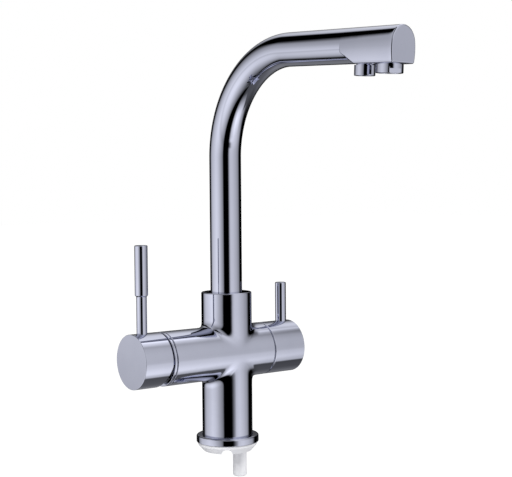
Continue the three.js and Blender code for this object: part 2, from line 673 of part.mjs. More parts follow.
function addCartridgeShell(handleAxis) {
  const sealDisc = rod(cartridge.r - 0.5, [-baseSealX[0], 0, 0], [-baseSealX[1], 0, 0]);
  const openings = portCuts(...baseSealX, cartridge.portR);
  place(handleAxis, "cartridge_base_seal", carved([sealDisc], openings), rubber);

  const base = rod(cartridge.innerR - GAP, [-baseX[0], 0, 0], [-baseX[1], 0, 0]);
  const baseCuts = portCuts(...baseX, cartridge.portR - 0.3);
  place(handleAxis, "cartridge_base", carved([base], baseCuts), greyPlastic);

  const disc = rod(cartridge.innerR - 0.8, [-fixedDiscX[0], 0, 0], [-fixedDiscX[1], 0, 0]);
  const discCuts = portCuts(...fixedDiscX, cartridge.portR - 0.6);
  place(handleAxis, "cartridge_fixed_disc", carved([disc], discCuts), ceramic);

  const shell = [
    [cartridge.innerR, -baseX[0]],
    [cartridge.r, -baseX[0]],
    [cartridge.r, -housingTop],
    [cartridge.neckR, -housingTop],
    [cartridge.neckR, -neckEnd],
    [rotorNeckR + 0.4, -neckEnd],
    [rotorNeckR + 0.4, -rotorX[1] - GAP],
    [cartridge.innerR, -rotorX[1] - GAP],
  ];
  place(handleAxis, "cartridge_housing", turnedX(shell, MEDIUM), greyPlastic);

  const nutX = [2.2 - body.left, -housingTop - GAP];
  const nut = washerX(cartridge.neckR + GAP, cartridge.nutSeatR - GAP, ...nutX, MEDIUM);
  place(handleAxis, "cartridge_nut", nut, brass);

  // The chrome ring between the body and the cap, with the dome that the cap tilts over.
  const ringStart = body.left + shroud.seam;
  const ringEnd = ringStart + shroud.width;
  const seamR = body.armR - 4; // how far out the ring's back stays clear of the seam
  const edge = 0.4;
  const dome = (r, x) => [Math.sqrt(r * r - (x - mixer.pivot) ** 2), -x];
  const domeEnd = mixer.pivot + shroud.reach;
  const inner = shroud.domeR - shroud.domeWall;
  const outline = [
    [cartridge.r - 1.5, -body.left - GAP],
    [seamR, -body.left - GAP],
    [seamR, -ringStart],
    [cap.r - edge, -ringStart],
    [cap.r, -ringStart - edge],
    [cap.r, -ringEnd + edge],
    [cap.r - edge, -ringEnd],
  ];
  const domeSteps = 4;
  for (let i = 0; i <= domeSteps; i++) {
    outline.push(dome(shroud.domeR, THREE.MathUtils.lerp(ringEnd, domeEnd, i / domeSteps)));
  }
  for (let i = 2; i >= 0; i--) {
    outline.push(dome(inner, THREE.MathUtils.lerp(ringEnd + 0.6, domeEnd - 1.4, i / 2)));
  }
  place(handleAxis, "mixer_shroud", turnedX(outline, FINE), chrome);
}

function addCartridgeMovers(mixerTurn) {
  // The mixing pocket lies below the inlets at rest and slides up over them as the lever lifts.
  const travel = cartridge.slideArm * Math.sin(tilt);
  const sliderR = cartridge.innerR - travel - GAP;
  const disc = rod(sliderR, [-movingDiscX[0], 0, 0], [-movingDiscX[1], 0, 0]);
  const mixingPocket = rod(pocketR, [1 - movingDiscX[0], 0, -travel], [1 - movingDiscX[1], 0, -travel]);
  place(mixerTurn, "cartridge_moving_disc", carved([disc], [mixingPocket]), ceramic);

  const ballX = mixer.pivot - cartridge.slideArm;
  const ballR = 2.6;
  const carrier = rod(sliderR, [-carrierX[0], 0, 0], [-carrierX[1], 0, 0]);
  const ballSocket = rod(ballR + GAP, [-ballX + ballR + 1, 0, 0], [-carrierX[1] - 1, 0, 0]);
  place(mixerTurn, "cartridge_disc_carrier", carved([carrier], [ballSocket]), greyPlastic);

  const rotorFlange = rod(cartridge.innerR - GAP, [-rotorX[0], 0, 0], [-rotorX[1], 0, 0], MEDIUM);
  const rotorNeck = rod(rotorNeckR, [-rotorX[0], 0, 0], [-mixer.pivot - 4, 0, 0], MEDIUM);
  const slotHalf = stemHalf + 0.4;
  const slot = block([-mixer.pivot - 6, -slotHalf, -6.4], [1 - rotorX[0], slotHalf, 6.4]);
  const pinR = 1.5;
  const pinEnd = rotorNeckR - 0.5;
  const pinHole = rod(pinR + GAP, [-mixer.pivot, -20, 0], [-mixer.pivot, 20, 0], 16);
  place(mixerTurn, "cartridge_rotor", carved([rotorFlange, rotorNeck], [slot, pinHole]), greyPlastic);
  const pin = rod(pinR, [-mixer.pivot, -pinEnd, 0], [-mixer.pivot, pinEnd, 0], 16);
  place(mixerTurn, "cartridge_tilt_pin", pin, steel);

  // The square stem: a ball in the disc carrier, the eye on the pin and a shank for the cap.
  const stemBall = new THREE.SphereGeometry(ballR, 12, 8).translate(-ballX, 0, 0);
  const stemNeck = rod(1.7, [-ballX, 0, 0], [-mixer.pivot + 3, 0, 0], 12);
  const shankX = [cap.end + 5 - mixer.front, 3.4 - mixer.pivot];
  const shank = block([shankX[0], -stemHalf, -stemHalf], [shankX[1], stemHalf, stemHalf]);
  const stemGeometry = carved([shank, stemNeck, stemBall], [pinHole]);
  place(mixerTurn, "cartridge_stem", stemGeometry, brass);
}

// ---------------------------------------------------------------- handles
// A cap like a cup about X: closed at its outer end, with a hub inside for the valve's square stem.
function handleCap({ rear, front, hubR, hubFrom, socketHalf, socketTo, leverX, leverR }, sign) {
  const e = cap.edge;
  const inner = cap.r - cap.wall;
  const endX = front - cap.end;
  const outline = [
    [0, sign * front],
    [cap.r - e, sign * front],
    [cap.r, sign * (front - e)],
    [cap.r, sign * (rear + 0.3)],
    [cap.r - 0.3, sign * rear],
    [inner, sign * rear],
    [inner, sign * endX],
    [hubR, sign * endX],
    [hubR, sign * hubFrom],
    [0, sign * hubFrom],
  ];
  const ends = [sign * (hubFrom - 1), sign * socketTo].sort((a, b) => a - b);
  const socket = block([ends[0], -socketHalf, -socketHalf], [ends[1], socketHalf, socketHalf]);
  const leverHole = rod(leverR + GAP, [sign * leverX, 0, socketHalf], [sign * leverX, 0, cap.r + 2]);
  const screwHole = rod(screw.r + GAP, [sign * leverX, 0, 0], [sign * leverX, 0, -cap.r - 2]);
  return { base: turnedX(outline, FINE), cuts: [socket, leverHole, screwHole] };
}

// The set screw under a handle, in the hub's wall opposite the lever.
function handleScrew(x, from) {
  const end = from + screw.length;
  const shaft = rod(screw.r, [x, 0, -from], [x, 0, -end]);
  const hexagon = rod(1, [x, 0, 2 - end], [x, 0, -end - 1], 6);
  return carved([shaft], [hexagon]);
}

// A lever's rod with a rounded top edge, standing on the handle axis.
function leverRod(r, x, from, to, sides) {
  const edge = 0.8;
  const outline = [
    [0, from],
    [r, from],
    [r, to - edge],
    [r - 0.3 * edge, to - 0.3 * edge],
    [r - edge, to],
    [0, to],
  ];
  return turned(outline, sides).translate(x, 0, 0);
}

function addMixerHandle(mixerLift) {
  const squareHalf = stemHalf + GAP;
  const { base, cuts } = handleCap(
    {
      rear: mixer.rear,
      front: mixer.front,
      hubR: cap.hubR,
      hubFrom: mixer.hubFrom,
      socketHalf: squareHalf,
      socketTo: mixer.front - cap.end - 4,
      leverX: mixer.leverX,
      leverR: mixer.leverR,
    },
    -1,
  );
  // The rear edge slopes away below, so that the cap clears the ring when the lever lifts.
  const drop = cap.r + 2;
  const reach = drop * Math.tan(tilt);
  const below = new THREE.Shape();
  const behind = 5 - mixer.rear;
  below.moveTo(-mixer.rear, -mixer.scoopStart);
  below.lineTo(-mixer.rear - reach, -mixer.scoopStart - drop);
  below.lineTo(behind, -mixer.scoopStart - drop);
  below.lineTo(behind, -mixer.scoopStart);
  const wide = 2 * cap.r + 4;
  const scoop = new THREE.ExtrudeGeometry(below, { depth: wide, bevelEnabled: false })
    .rotateX(Math.PI / 2)
    .translate(0, wide / 2, 0);
  place(mixerLift, "mixer_cap", carved([base], [...cuts, scoop]), chrome);

  const pegR = 3;
  const pegTop = mixer.top - 4;
  const x = -mixer.leverX;
  const shaft = leverRod(mixer.leverR, x, squareHalf + GAP, mixer.gripFrom - GAP, MEDIUM);
  const peg = rod(pegR, [x, 0, mixer.gripFrom - 1], [x, 0, pegTop - GAP]);
  place(mixerLift, "mixer_lever", carved([shaft, peg]), chrome);

  const g = mixer.gripR;
  const chamfer = 0.9;
  const gripOutline = [
    [pegR + GAP, mixer.gripFrom],
    [g - chamfer, mixer.gripFrom],
    [g, mixer.gripFrom + chamfer],
    [g, mixer.top - 0.8],
    [g - 0.25, mixer.top - 0.25],
    [g - 0.8, mixer.top],
    [0, mixer.top],
    [0, pegTop],
    [pegR + GAP, pegTop],
  ];
  const grip = turned(gripOutline, MEDIUM).translate(x, 0, 0);
  place(mixerLift, "mixer_grip", grip, chrome);
  place(mixerLift, "mixer_set_screw", handleScrew(x, squareHalf + GAP), steel);
}

// ---------------------------------------------------------------- filtered-water valve
const valveSealX = [valve.floor + GAP, valve.floor + 1.5];
const valveLow = valveSealX[1] + GAP;
const valveFixedX = [valveLow + 0.5, valveLow + 3];
const valveMovingX = [valveFixedX[1] + GAP, valveFixedX[1] + GAP + 2.5];
const dogX = [valveMovingX[1] + 0.5, valveMovingX[1] + 3.5];
const valveFlangeX = [dogX[1] + 2.5, dogX[1] + 6];
const valveNeckEnd = valveFlangeX[1] + 10;

// Two round ports on opposite sides of a valve disc.
const discPorts = (from, to) =>
  [-3.7, 3.7].map((z) => rod(valve.portR, [from - 1, 0, z], [to + 1, 0, z], 12));

function addFilterValve(handleAxis) {
  place(handleAxis, "valve_seat_seal", washerX(6.3, valve.r, ...valveSealX), rubber);

  const boreR = valve.discR + GAP;
  const spindleBore = valve.spindleR + GAP;
  const outline = [
    [boreR, valveLow],
    [valve.r, valveLow],
    [valve.r, valveFlangeX[0]],
    [valve.chamberR - GAP, valveFlangeX[0]],
    [valve.chamberR - GAP, valveFlangeX[1]],
    [valve.neckR, valveFlangeX[1]],
    [valve.neckR, valveNeckEnd],
    [spindleBore, valveNeckEnd],
    [spindleBore, dogX[1] + GAP],
    [boreR, dogX[1] + GAP],
  ];
  const windowX = (valveMovingX[0] + dogX[1]) / 2 + 0.4;
  const window = rod(valve.portR, [windowX, 0, -20], [windowX, 0, 20], 12);
  place(handleAxis, "filter_valve_body", carved([turnedX(outline, MEDIUM)], [window]), brass);

  const fixed = rod(valve.discR, [valveFixedX[0], 0, 0], [valveFixedX[1], 0, 0]);
  place(handleAxis, "valve_fixed_disc", carved([fixed], discPorts(...valveFixedX)), ceramic);

  const nutX = [valveFlangeX[1] + GAP, filter.rear + 3.4];
  const nut = washerX(valve.neckR + GAP, valve.chamberR - GAP, ...nutX, MEDIUM);
  const flats = [];
  for (let i = 0; i < 6; i++) {
    const flat = block([body.right, 11, -20], [nutX[1] + 2, 20, 20]);
    flats.push(flat.rotateX((i * Math.PI) / 3));
  }
  place(handleAxis, "valve_retaining_nut", carved([nut], flats), brass);
}

function addFilterHandle(filterTurn) {
  const moving = rod(valve.discR, [valveMovingX[0], 0, 0], [valveMovingX[1], 0, 0]);
  const turned90 = discPorts(...valveMovingX).map((piece) => piece.rotateX(Math.PI / 2));
  place(filterTurn, "valve_moving_disc", carved([moving], turned90), ceramic);

  const hubFrom = valveNeckEnd + 1.2;
  const squareHalf = 3;
  const sealX = valveFlangeX[1] - 2;
  const r = valve.spindleR;
  const grooveR = r - 1.1;
  const shaft = [
    [0, dogX[0]],
    [valve.discR - 0.2, dogX[0]],
    [valve.discR - 0.2, dogX[1]],
    [r, dogX[1]],
    [r, sealX - 0.9],
    [grooveR, sealX - 0.9],
    [grooveR, sealX + 0.9],
    [r, sealX + 0.9],
    [r, hubFrom - 0.4],
    [0, hubFrom - 0.4],
  ];
  const squareEnd = filter.front - cap.end - 5;
  const square = block([hubFrom - 0.8, -squareHalf, -squareHalf], [squareEnd, squareHalf, squareHalf]);
  place(filterTurn, "filter_spindle", carved([turnedX(shaft), square]), brass);
  const sealR = r + 0.15 - 0.55;
  const seal = oRing(sealR, 0.55, sealX).rotateY(Math.PI / 2);
  place(filterTurn, "spindle_oring", seal, rubber);

  const socketHalf = squareHalf + GAP;
  const { base, cuts } = handleCap(
    {
      rear: filter.rear,
      front: filter.front,
      hubR: cap.hubR,
      hubFrom,
      socketHalf,
      socketTo: squareEnd + 1,
      leverX: filter.leverX,
      leverR: filter.leverR,
    },
    1,
  );
  place(filterTurn, "filter_cap", carved([base], cuts), chrome);
  const lever = leverRod(filter.leverR, filter.leverX, socketHalf + GAP, filter.top, MEDIUM);
  place(filterTurn, "filter_lever", lever, chrome);
  place(filterTurn, "filter_set_screw", handleScrew(filter.leverX, socketHalf + GAP), steel);
}

// ---------------------------------------------------------------- assembly
const tap = new THREE.Group();
addBase(tap);
addFilterStem(tap);
addBody(tap);
addSpigot(tap);

const spoutGroup = new THREE.Group();
tap.add(spoutGroup);
addSpoutFoot(spoutGroup);
addSpoutTubes(spoutGroup);

// The tip's frame: origin at the middle of the head's end face, +Z out along the arm.
const spoutTip = new THREE.Group();
new SpoutLine(0, spout.arm, 1).getPoint(1, spoutTip.position);
const armAngle = THREE.MathUtils.degToRad(spout.bendAngle);
spoutTip.rotation.x = armAngle;
spoutGroup.add(spoutTip);
addSpoutHead(spoutTip);
addOutlets(spoutTip);

const handleAxis = new THREE.Group();
handleAxis.position.z = axisZ;
tap.add(handleAxis);
addCartridgeShell(handleAxis);
addFilterValve(handleAxis);

const mixerTurn = new THREE.Group();
handleAxis.add(mixerTurn);
addCartridgeMovers(mixerTurn);
addMixerHandle(mixerTurn);

const filterTurn = new THREE.Group();
handleAxis.add(filterTurn);
addFilterHandle(filterTurn);

export default tap;
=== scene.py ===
"""The visual model of a three way filtered water tap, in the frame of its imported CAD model.

Sizes are in millimetres, +Z up, the spout along -Y, the mixer lever at -X; a mesh is scaled to
metres as it is made.
"""

import json
import math

import bmesh
import bpy
import numpy as np
from mathutils import Matrix, Vector


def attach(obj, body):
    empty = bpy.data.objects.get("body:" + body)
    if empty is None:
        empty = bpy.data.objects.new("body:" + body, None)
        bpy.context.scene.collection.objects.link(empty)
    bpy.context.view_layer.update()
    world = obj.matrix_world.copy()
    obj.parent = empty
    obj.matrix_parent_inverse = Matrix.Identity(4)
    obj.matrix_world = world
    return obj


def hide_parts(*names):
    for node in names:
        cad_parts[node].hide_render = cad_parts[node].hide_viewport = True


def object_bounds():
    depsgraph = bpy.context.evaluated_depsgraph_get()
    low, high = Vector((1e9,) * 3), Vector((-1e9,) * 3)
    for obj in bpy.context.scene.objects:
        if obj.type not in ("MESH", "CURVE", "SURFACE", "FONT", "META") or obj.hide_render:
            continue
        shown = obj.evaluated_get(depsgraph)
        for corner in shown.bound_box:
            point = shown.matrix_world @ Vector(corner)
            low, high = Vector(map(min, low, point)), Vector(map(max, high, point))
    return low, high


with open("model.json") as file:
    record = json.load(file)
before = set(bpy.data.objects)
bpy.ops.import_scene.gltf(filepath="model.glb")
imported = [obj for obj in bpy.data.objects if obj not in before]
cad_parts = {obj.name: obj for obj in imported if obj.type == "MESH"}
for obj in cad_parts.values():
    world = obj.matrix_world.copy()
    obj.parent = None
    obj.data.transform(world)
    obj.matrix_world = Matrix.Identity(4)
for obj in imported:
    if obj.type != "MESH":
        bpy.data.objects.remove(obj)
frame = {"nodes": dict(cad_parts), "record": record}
cad_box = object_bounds()

MM = 0.001
FINE = 160  # sides of a large round piece
MEDIUM = 96  # sides of a small round piece
CORNER_STEPS = 5  # faces round a rounded corner of an outline

# ---------------------------------------------------------------- sizes
AXIS_Z = 87.6  # height of the handles' axis
BODY_R, ARM_R = 22.3, 23.5
BODY_LOW, NECK_TOP = 11.3, 141.3
SCREW_Z = NECK_TOP - 14  # height of the screw at the back of the neck
ARM_LEFT, ARM_RIGHT = -68.2, 36.8
TUBE_R, TUBE_WALL = 14.0, 1.2
BEND_R, BEND_Z, BEND_ANGLE = 87.4, 259.6, math.radians(92.94)
ARM_LENGTH = 131.6  # from the end of the bend to the end face
HEAD = 56.0  # length of the spout's head
MIXER_X, FILTER_X = -89.05, 61.8  # where the levers stand
CAP_R, CAP_WALL = 23.45, 2.15
MIXER_ROD_R, FILTER_ROD_R = 4.5, 5.0
MIXER_SEAT, FILTER_SEAT = 4.1, 3.6  # from the handles' axis to the foot of each lever
GAP = 0.3  # between pieces that touch in the real tap


# ---------------------------------------------------------------- materials
def node_material(name):
    """A new material, its node tree and its shader."""
    material = bpy.data.materials.new(name)
    material.use_nodes = True
    tree = material.node_tree
    shader = tree.nodes["Principled BSDF"]
    return material, tree, shader


def add_node(tree, kind, settings=None, **inputs):
    """A node with its settings, and its inputs set or linked by name."""
    node = tree.nodes.new(kind)
    for key, value in (settings or {}).items():
        setattr(node, key, value)
    for key, value in inputs.items():
        socket = node.inputs[int(key[1:])] if key[0] == "i" and key[1:].isdigit() else node.inputs[key]
        if isinstance(value, bpy.types.NodeSocket):
            tree.links.new(value, socket)
        else:
            socket.default_value = value
    return node


def ramp(tree, factor, stops):
    """A colour ramp from a list of (position, colour or grey)."""
    node = add_node(tree, "ShaderNodeValToRGB", Fac=factor)
    elements = node.color_ramp.elements
    for i, (at, value) in enumerate(stops):
        element = elements[i] if i < 2 else elements.new(at)
        element.position = at
        element.color = (*value, 1) if isinstance(value, tuple) else (value, value, value, 1)
    return node.outputs["Color"]


def mottled(name, low, high, metallic, roughness, grain, bump):
    """A material whose colour, roughness and surface vary a little, at a grain in metres."""
    material, tree, shader = node_material(name)
    shader.inputs["Metallic"].default_value = metallic
    where = add_node(tree, "ShaderNodeTexCoord").outputs["Object"]
    broad = add_node(tree, "ShaderNodeTexNoise", Vector=where, Scale=1 / grain, Detail=3.0)
    fine = add_node(tree, "ShaderNodeTexNoise", Vector=where, Scale=12 / grain, Detail=4.0)
    tree.links.new(ramp(tree, broad.outputs["Fac"], [(0.3, low), (0.7, high)]), shader.inputs["Base Color"])
    rough = add_node(
        tree,
        "ShaderNodeMapRange",
        Value=fine.outputs["Fac"],
        i3=roughness[0],
        i4=roughness[1],
    )
    tree.links.new(rough.outputs["Result"], shader.inputs["Roughness"])
    for height, strength, distance in bump:
        source = broad if height == "broad" else fine
        made = add_node(
            tree,
            "ShaderNodeBump",
            Height=source.outputs["Fac"],
            Strength=strength,
            Distance=distance,
        )
        tree.links.new(made.outputs["Normal"], shader.inputs["Normal"])
    return material


CHROME = ((0.585, 0.605, 0.735), (0.615, 0.635, 0.765))
cast_chrome = mottled("cast_chrome", *CHROME, 1, (0.015, 0.05), 0.03, [("broad", 0.25, 0.0004)])
tube_chrome = mottled("tube_chrome", *CHROME, 1, (0.01, 0.04), 0.06, [("broad", 0.12, 0.0003)])
turned_chrome = mottled("turned_chrome", *CHROME, 1, (0.015, 0.05), 0.02, [("fine", 0.02, 0.0001)])
white_plastic = mottled(
    "white_plastic", (0.86, 0.86, 0.88), (0.93, 0.93, 0.94), 0, (0.22, 0.4), 0.012, [("fine", 0.05, 0.0002)]
)
jet_plastic = mottled(
    "jet_plastic", (0.78, 0.78, 0.78), (0.88, 0.88, 0.87), 0, (0.3, 0.5), 0.006, [("fine", 0.05, 0.0002)]
)
grey_plastic = mottled(
    "grey_plastic", (0.31, 0.32, 0.35), (0.37, 0.38, 0.41), 0, (0.4, 0.6), 0.008, [("fine", 0.1, 0.0002)]
)
rubber = mottled(
    "rubber", (0.010, 0.010, 0.011), (0.018, 0.018, 0.019), 0, (0.6, 0.85), 0.004, [("fine", 0.2, 0.0003)]
)
ceramic = mottled(
    "ceramic", (0.85, 0.84, 0.80), (0.92, 0.91, 0.87), 0, (0.12, 0.25), 0.006, [("fine", 0.03, 0.0001)]
)
brass = mottled(
    "brass", (0.50, 0.32, 0.10), (0.62, 0.42, 0.15), 1, (0.25, 0.42), 0.008, [("fine", 0.1, 0.0002)]
)
steel = mottled(
    "steel", (0.20, 0.205, 0.215), (0.33, 0.335, 0.345), 1, (0.3, 0.5), 0.004, [("fine", 0.1, 0.0002)]
)

CAD_MATERIALS = {
    "brass": brass,
    "white_plastic": white_plastic,
    "grey_plastic": grey_plastic,
    "rubber": rubber,
    "ceramic": ceramic,
    "steel": steel,
    "chrome": turned_chrome,
}
for part in frame["record"]["subparts"]:
    cad = frame["nodes"][part["node"]]
    cad.data.materials.clear()
    cad.data.materials.append(CAD_MATERIALS[part["material_slot"]])


# ---------------------------------------------------------------- mesh helpers
def new_object(name, vertices, faces):
    """An object from vertices in millimetres and faces."""
    mesh = bpy.data.meshes.new(name)
    mesh.from_pydata([tuple(c * MM for c in v) for v in vertices], [], faces)
    made = bpy.data.objects.new(name, mesh)
    bpy.context.scene.collection.objects.link(made)
    return made


def tidy_mesh(piece, sharp=40):
    """Merges doubled vertices, points the faces outwards and smooths all but the sharp edges."""
    work = bmesh.new()
    work.from_mesh(piece.data)
    bmesh.ops.remove_doubles(work, verts=work.verts, dist=0.002 * MM)
    bmesh.ops.dissolve_degenerate(work, edges=work.edges, dist=0.001 * MM)
    bmesh.ops.recalc_face_normals(work, faces=work.faces)
    work.to_mesh(piece.data)
    work.free()
    piece.data.shade_smooth()
    piece.data.set_sharp_from_angle(angle=math.radians(sharp))


def settle(piece, material, body, slot, *nodes, sharp=40, weighted=True):
    """Finishes a piece: its mesh, its material, the body it rides on and the nodes it stands for."""
    tidy_mesh(piece, sharp)
    piece.data.materials.clear()
    piece.data.materials.append(material)
    if weighted:
        normals = piece.modifiers.new("normals", "WEIGHTED_NORMAL")
        normals.keep_sharp = True
        normals.weight = 80
    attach(piece, body)
    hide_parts(*nodes)
    return piece


def rounded(outline):
    """A closed outline of (a, b) or (a, b, radius), with each corner that has a radius rounded."""
    points = []
    count = len(outline)
    for i, corner in enumerate(outline):
        here = Vector(corner[:2])
        if len(corner) == 2:
            points.append(tuple(here))
            continue
        radius = corner[2]
        before = (Vector(outline[i - 1][:2]) - here).normalized()
        after = (Vector(outline[(i + 1) % count][:2]) - here).normalized()
        half = before.angle(after) / 2
        reach = radius / math.tan(half)
        start, end = here + before * reach, here + after * reach
        middle = here + (before + after).normalized() * (radius / math.sin(half))
        first, last = start - middle, end - middle
        turn = first.angle_signed(last)
        for step in range(CORNER_STEPS + 1):
            spun = first.copy()
            spun.rotate(Matrix.Rotation(-turn * step / CORNER_STEPS, 2))
            points.append(tuple(middle + spun))
    return points


def turned(name, outline, sides=FINE, axis="Z", at=(0, 0, 0)):
    """A round piece from a closed outline of (radius, place along the axis)."""
    vertices, faces = [], []
    count = len(outline)
    for i in range(sides):
        angle = 2 * math.pi * i / sides
        for r, along in outline:
            a, b = r * math.cos(angle), r * math.sin(angle)
            local = (a, b, along) if axis == "Z" else (along, a, b)
            vertices.append(tuple(local[k] + at[k] for k in range(3)))
        for j in range(count):
            k = (j + 1) % count
            if outline[j][0] < 1e-6 and outline[k][0] < 1e-6:
                continue
            n = (i + 1) % sides
            faces.append((i * count + j, n * count + j, n * count + k, i * count + k))
    piece = new_object(name, vertices, faces)
    tidy_mesh(piece)
    return piece


def rod(name, r, start, end, sides=48):
    """A plain cylinder between two points, as a cutter."""
    start, end = Vector(start), Vector(end)
    along = end - start
    turn = Vector((0, 0, 1)).rotation_difference(along)
    vertices = []
    for centre in (start, end):
        for i in range(sides):
            angle = 2 * math.pi * i / sides
            offset = turn @ Vector((r * math.cos(angle), r * math.sin(angle), 0))
            vertices.append(tuple(centre + offset))
    ring = range(sides)
    faces = [(i, (i + 1) % sides, sides + (i + 1) % sides, sides + i) for i in ring]
    faces += [tuple(reversed(ring)), tuple(sides + i for i in ring)]
    return new_object(name, vertices, faces)


def prism(name, outline, to_space, low, high):
    """A straight piece from an outline of two numbers, placed by a function of (a, b, depth)."""
    count = len(outline)
    vertices = [to_space(a, b, depth) for depth in (low, high) for a, b in outline]
    faces = [(i, (i + 1) % count, count + (i + 1) % count, count + i) for i in range(count)]
    faces += [tuple(range(count)), tuple(range(count, 2 * count))]
    piece = new_object(name, vertices, faces)
    tidy_mesh(piece)
    return piece


def carve(piece, *cutters):
    """Cuts the cutters out of a piece for good."""
    for cutter in cutters:
        tidy_mesh(cutter)
        cut = piece.modifiers.new("cut", "BOOLEAN")
        cut.operation = "DIFFERENCE"
        cut.solver = "EXACT"
        cut.object = cutter
    graph = bpy.context.evaluated_depsgraph_get()
    carved = bpy.data.meshes.new_from_object(piece.evaluated_get(graph))
    piece.modifiers.clear()
    piece.data = carved
    for cutter in cutters:
        bpy.data.objects.remove(cutter)
    return piece


# ---------------------------------------------------------------- body casting
FILLET = 9.0  # reach of the blend where the arms meet the neck and the foot


def cross_distance(points):
    """Signed distance, in millimetres, to the blended cross of two cylinders about the crossing."""
    x, y, z = points[..., 0], points[..., 1], points[..., 2]
    upright = np.hypot(x, y)
    level = np.hypot(y, z)
    to_upright = upright - BODY_R
    to_level = level - ARM_R
    alike = y**2 / np.maximum(upright * level, 1e-9)
    reach = FILLET * (0.12 + 0.88 * (1 - alike**2))
    near = np.maximum(reach - np.abs(to_upright - to_level), 0) / reach
    return np.minimum(to_upright, to_level) - near**3 * reach / 6


def cross_normal(points):
    """Outward direction of the blended cross at points on it."""
    step = 0.01
    slope = np.stack(
        [cross_distance(points + step * e) - cross_distance(points - step * e) for e in np.eye(3)], axis=-1
    )
    return slope / np.linalg.norm(slope, axis=-1, keepdims=True)


def cross_points(rays):
    """Where rays from the crossing leave the blended cross, found by halving a stretch of each."""
    low, high = np.full(rays.shape[:-1], 0.4), np.full(rays.shape[:-1], 2.2)
    for _ in range(40):
        middle = (low + high) / 2
        inside = cross_distance(rays * middle[..., None]) < 0
        low, high = np.where(inside, middle, low), np.where(inside, high, middle)
    return rays * low[..., None]


def make_casting():
    """The body's arms, neck and foot, as one skin blended where they meet."""
    around, rings, edge_rings = 144, 30, 4
    angle = 2 * np.pi * np.arange(around) / around
    vertices, faces = [], []
    # Each arm: its direction, its radius, where the blend has ended, its end and its end's rounding.
    arms = [
        (np.array([1.0, 0, 0]), ARM_R, 35.5, ARM_RIGHT, 0.9),
        (np.array([-1.0, 0, 0]), ARM_R, 38, -ARM_LEFT, 0.9),
        (np.array([0, 0, 1.0]), BODY_R, 38, NECK_TOP - AXIS_Z, 1.0),
        (np.array([0, 0, -1.0]), BODY_R, 38, AXIS_Z - BODY_LOW, 0.2),
    ]
    for out, radius, blend_end, end, edge in arms:
        front = np.array([0, 1.0, 0])
        side = np.array([out[2], 0, out[0]])
        circle = np.cos(angle)[:, None] * front + np.sin(angle)[:, None] * side
        meeting = np.abs(np.sin(angle)) * radius
        rows = []
        for k in range(rings + 1):
            share = (k / rings) ** 1.25  # the rings lie closer where the arms meet
            along = (1 - share) * meeting + share * blend_end
            rays = along[:, None] * out + radius * circle
            rows.append(cross_points(rays))
        for k in range(edge_rings + 1):
            bow = math.pi / 2 * k / edge_rings
            r = radius - edge * (1 - math.cos(bow))
            rows.append((end - edge + edge * math.sin(bow)) * out + r * circle)
        base = len(vertices)
        for row in rows:
            vertices += [tuple(p + (0, 0, AXIS_Z)) for p in row]
        for k in range(len(rows) - 1):
            for i in range(around):
                n = (i + 1) % around
                a, b = base + k * around, base + (k + 1) * around
                faces.append((a + i, a + n, b + n, b + i))
        last = base + (len(rows) - 1) * around
        faces.append(tuple(last + i for i in range(around)))
    piece = new_object("cross_casting", vertices, faces)
    tidy_mesh(piece)
    return piece


def casting_normals(mesh):
    """Sets the true direction of the casting's outer skin, so that its polish shows no facets."""
    count = len(mesh.loops)
    corner = np.empty(count, dtype=int)
    mesh.loops.foreach_get("vertex_index", corner)
    places = np.empty(len(mesh.vertices) * 3)
    mesh.vertices.foreach_get("co", places)
    places = places.reshape(-1, 3) / MM - (0, 0, AXIS_Z)
    face_of = np.empty(count, dtype=int)
    flat = np.empty(len(mesh.polygons) * 3)
    mesh.polygons.foreach_get("normal", flat)
    flat = flat.reshape(-1, 3)
    for polygon in mesh.polygons:
        face_of[polygon.loop_start : polygon.loop_start + polygon.loop_total] = polygon.index
    at = places[corner]
    facing = flat[face_of]
    truth = cross_normal(at)
    on_skin = np.abs(cross_distance(at)) < 0.02
    agrees = np.einsum("ij,ij->i", truth, facing) > 0.9
    normals = np.zeros_like(at)
    use = on_skin & agrees
    normals[use] = truth[use]
    level_faces = np.abs(facing).max(axis=1) > 0.99995
    at_end = np.zeros(count, dtype=bool)
    for axis, end in ((2, NECK_TOP - AXIS_Z), (2, BODY_LOW - AXIS_Z), (0, ARM_LEFT), (0, ARM_RIGHT)):
        at_end |= np.abs(at[:, axis] - end) < 0.01
    ends = level_faces & at_end & ~use
    normals[ends] = facing[ends]
    mesh.normals_split_custom_set([tuple(n) for n in normals])


PORT_PITCH = 11.2  # from the body's axis to its three inlets
INLET_R, INLET_TOP = 4.8, 26.3
HOT, STEM = math.radians(120), math.radians(-21)  # which way the hot inlet and the stem lie
stem_x, stem_y = PORT_PITCH * math.cos(STEM), PORT_PITCH * math.sin(STEM)
# Each chamber or way: its radius, its two ends and its sides.
BORES = [
    # the mixer cartridge's chamber, and the thread of its nut
    (17.3, (-70, 0, AXIS_Z), (-38, 0, AXIS_Z), FINE),
    (19.0, (-70, 0, AXIS_Z), (-58.5, 0, AXIS_Z), FINE),
    # the filtered-water valve's chamber
    (13.0, (16, 0, AXIS_Z), (38, 0, AXIS_Z), MEDIUM),
    # the spout's socket in the neck, and the way that leads up to it
    (14.3, (0, 0, 112.3), (0, 0, 143), FINE),
    (9.0, (0, 0, 93.6), (0, 0, 113), MEDIUM),
    # the clamping stud's hole, the stem's socket and the retaining screw's hole
    (3.4, (0, 0, 10), (0, 0, 33.3), 48),
    (6.4, (stem_x, stem_y, 10), (stem_x, stem_y, INLET_TOP), MEDIUM),
    (2.6, (0, 13, SCREW_Z), (0, 24, SCREW_Z), 48),
]
for sign in (1, -1):  # the hot inlet and the cold one
    x, y = PORT_PITCH * math.cos(HOT), sign * PORT_PITCH * math.sin(HOT)
    BORES.append((INLET_R, (x, y, 10), (x, y, INLET_TOP), 48))

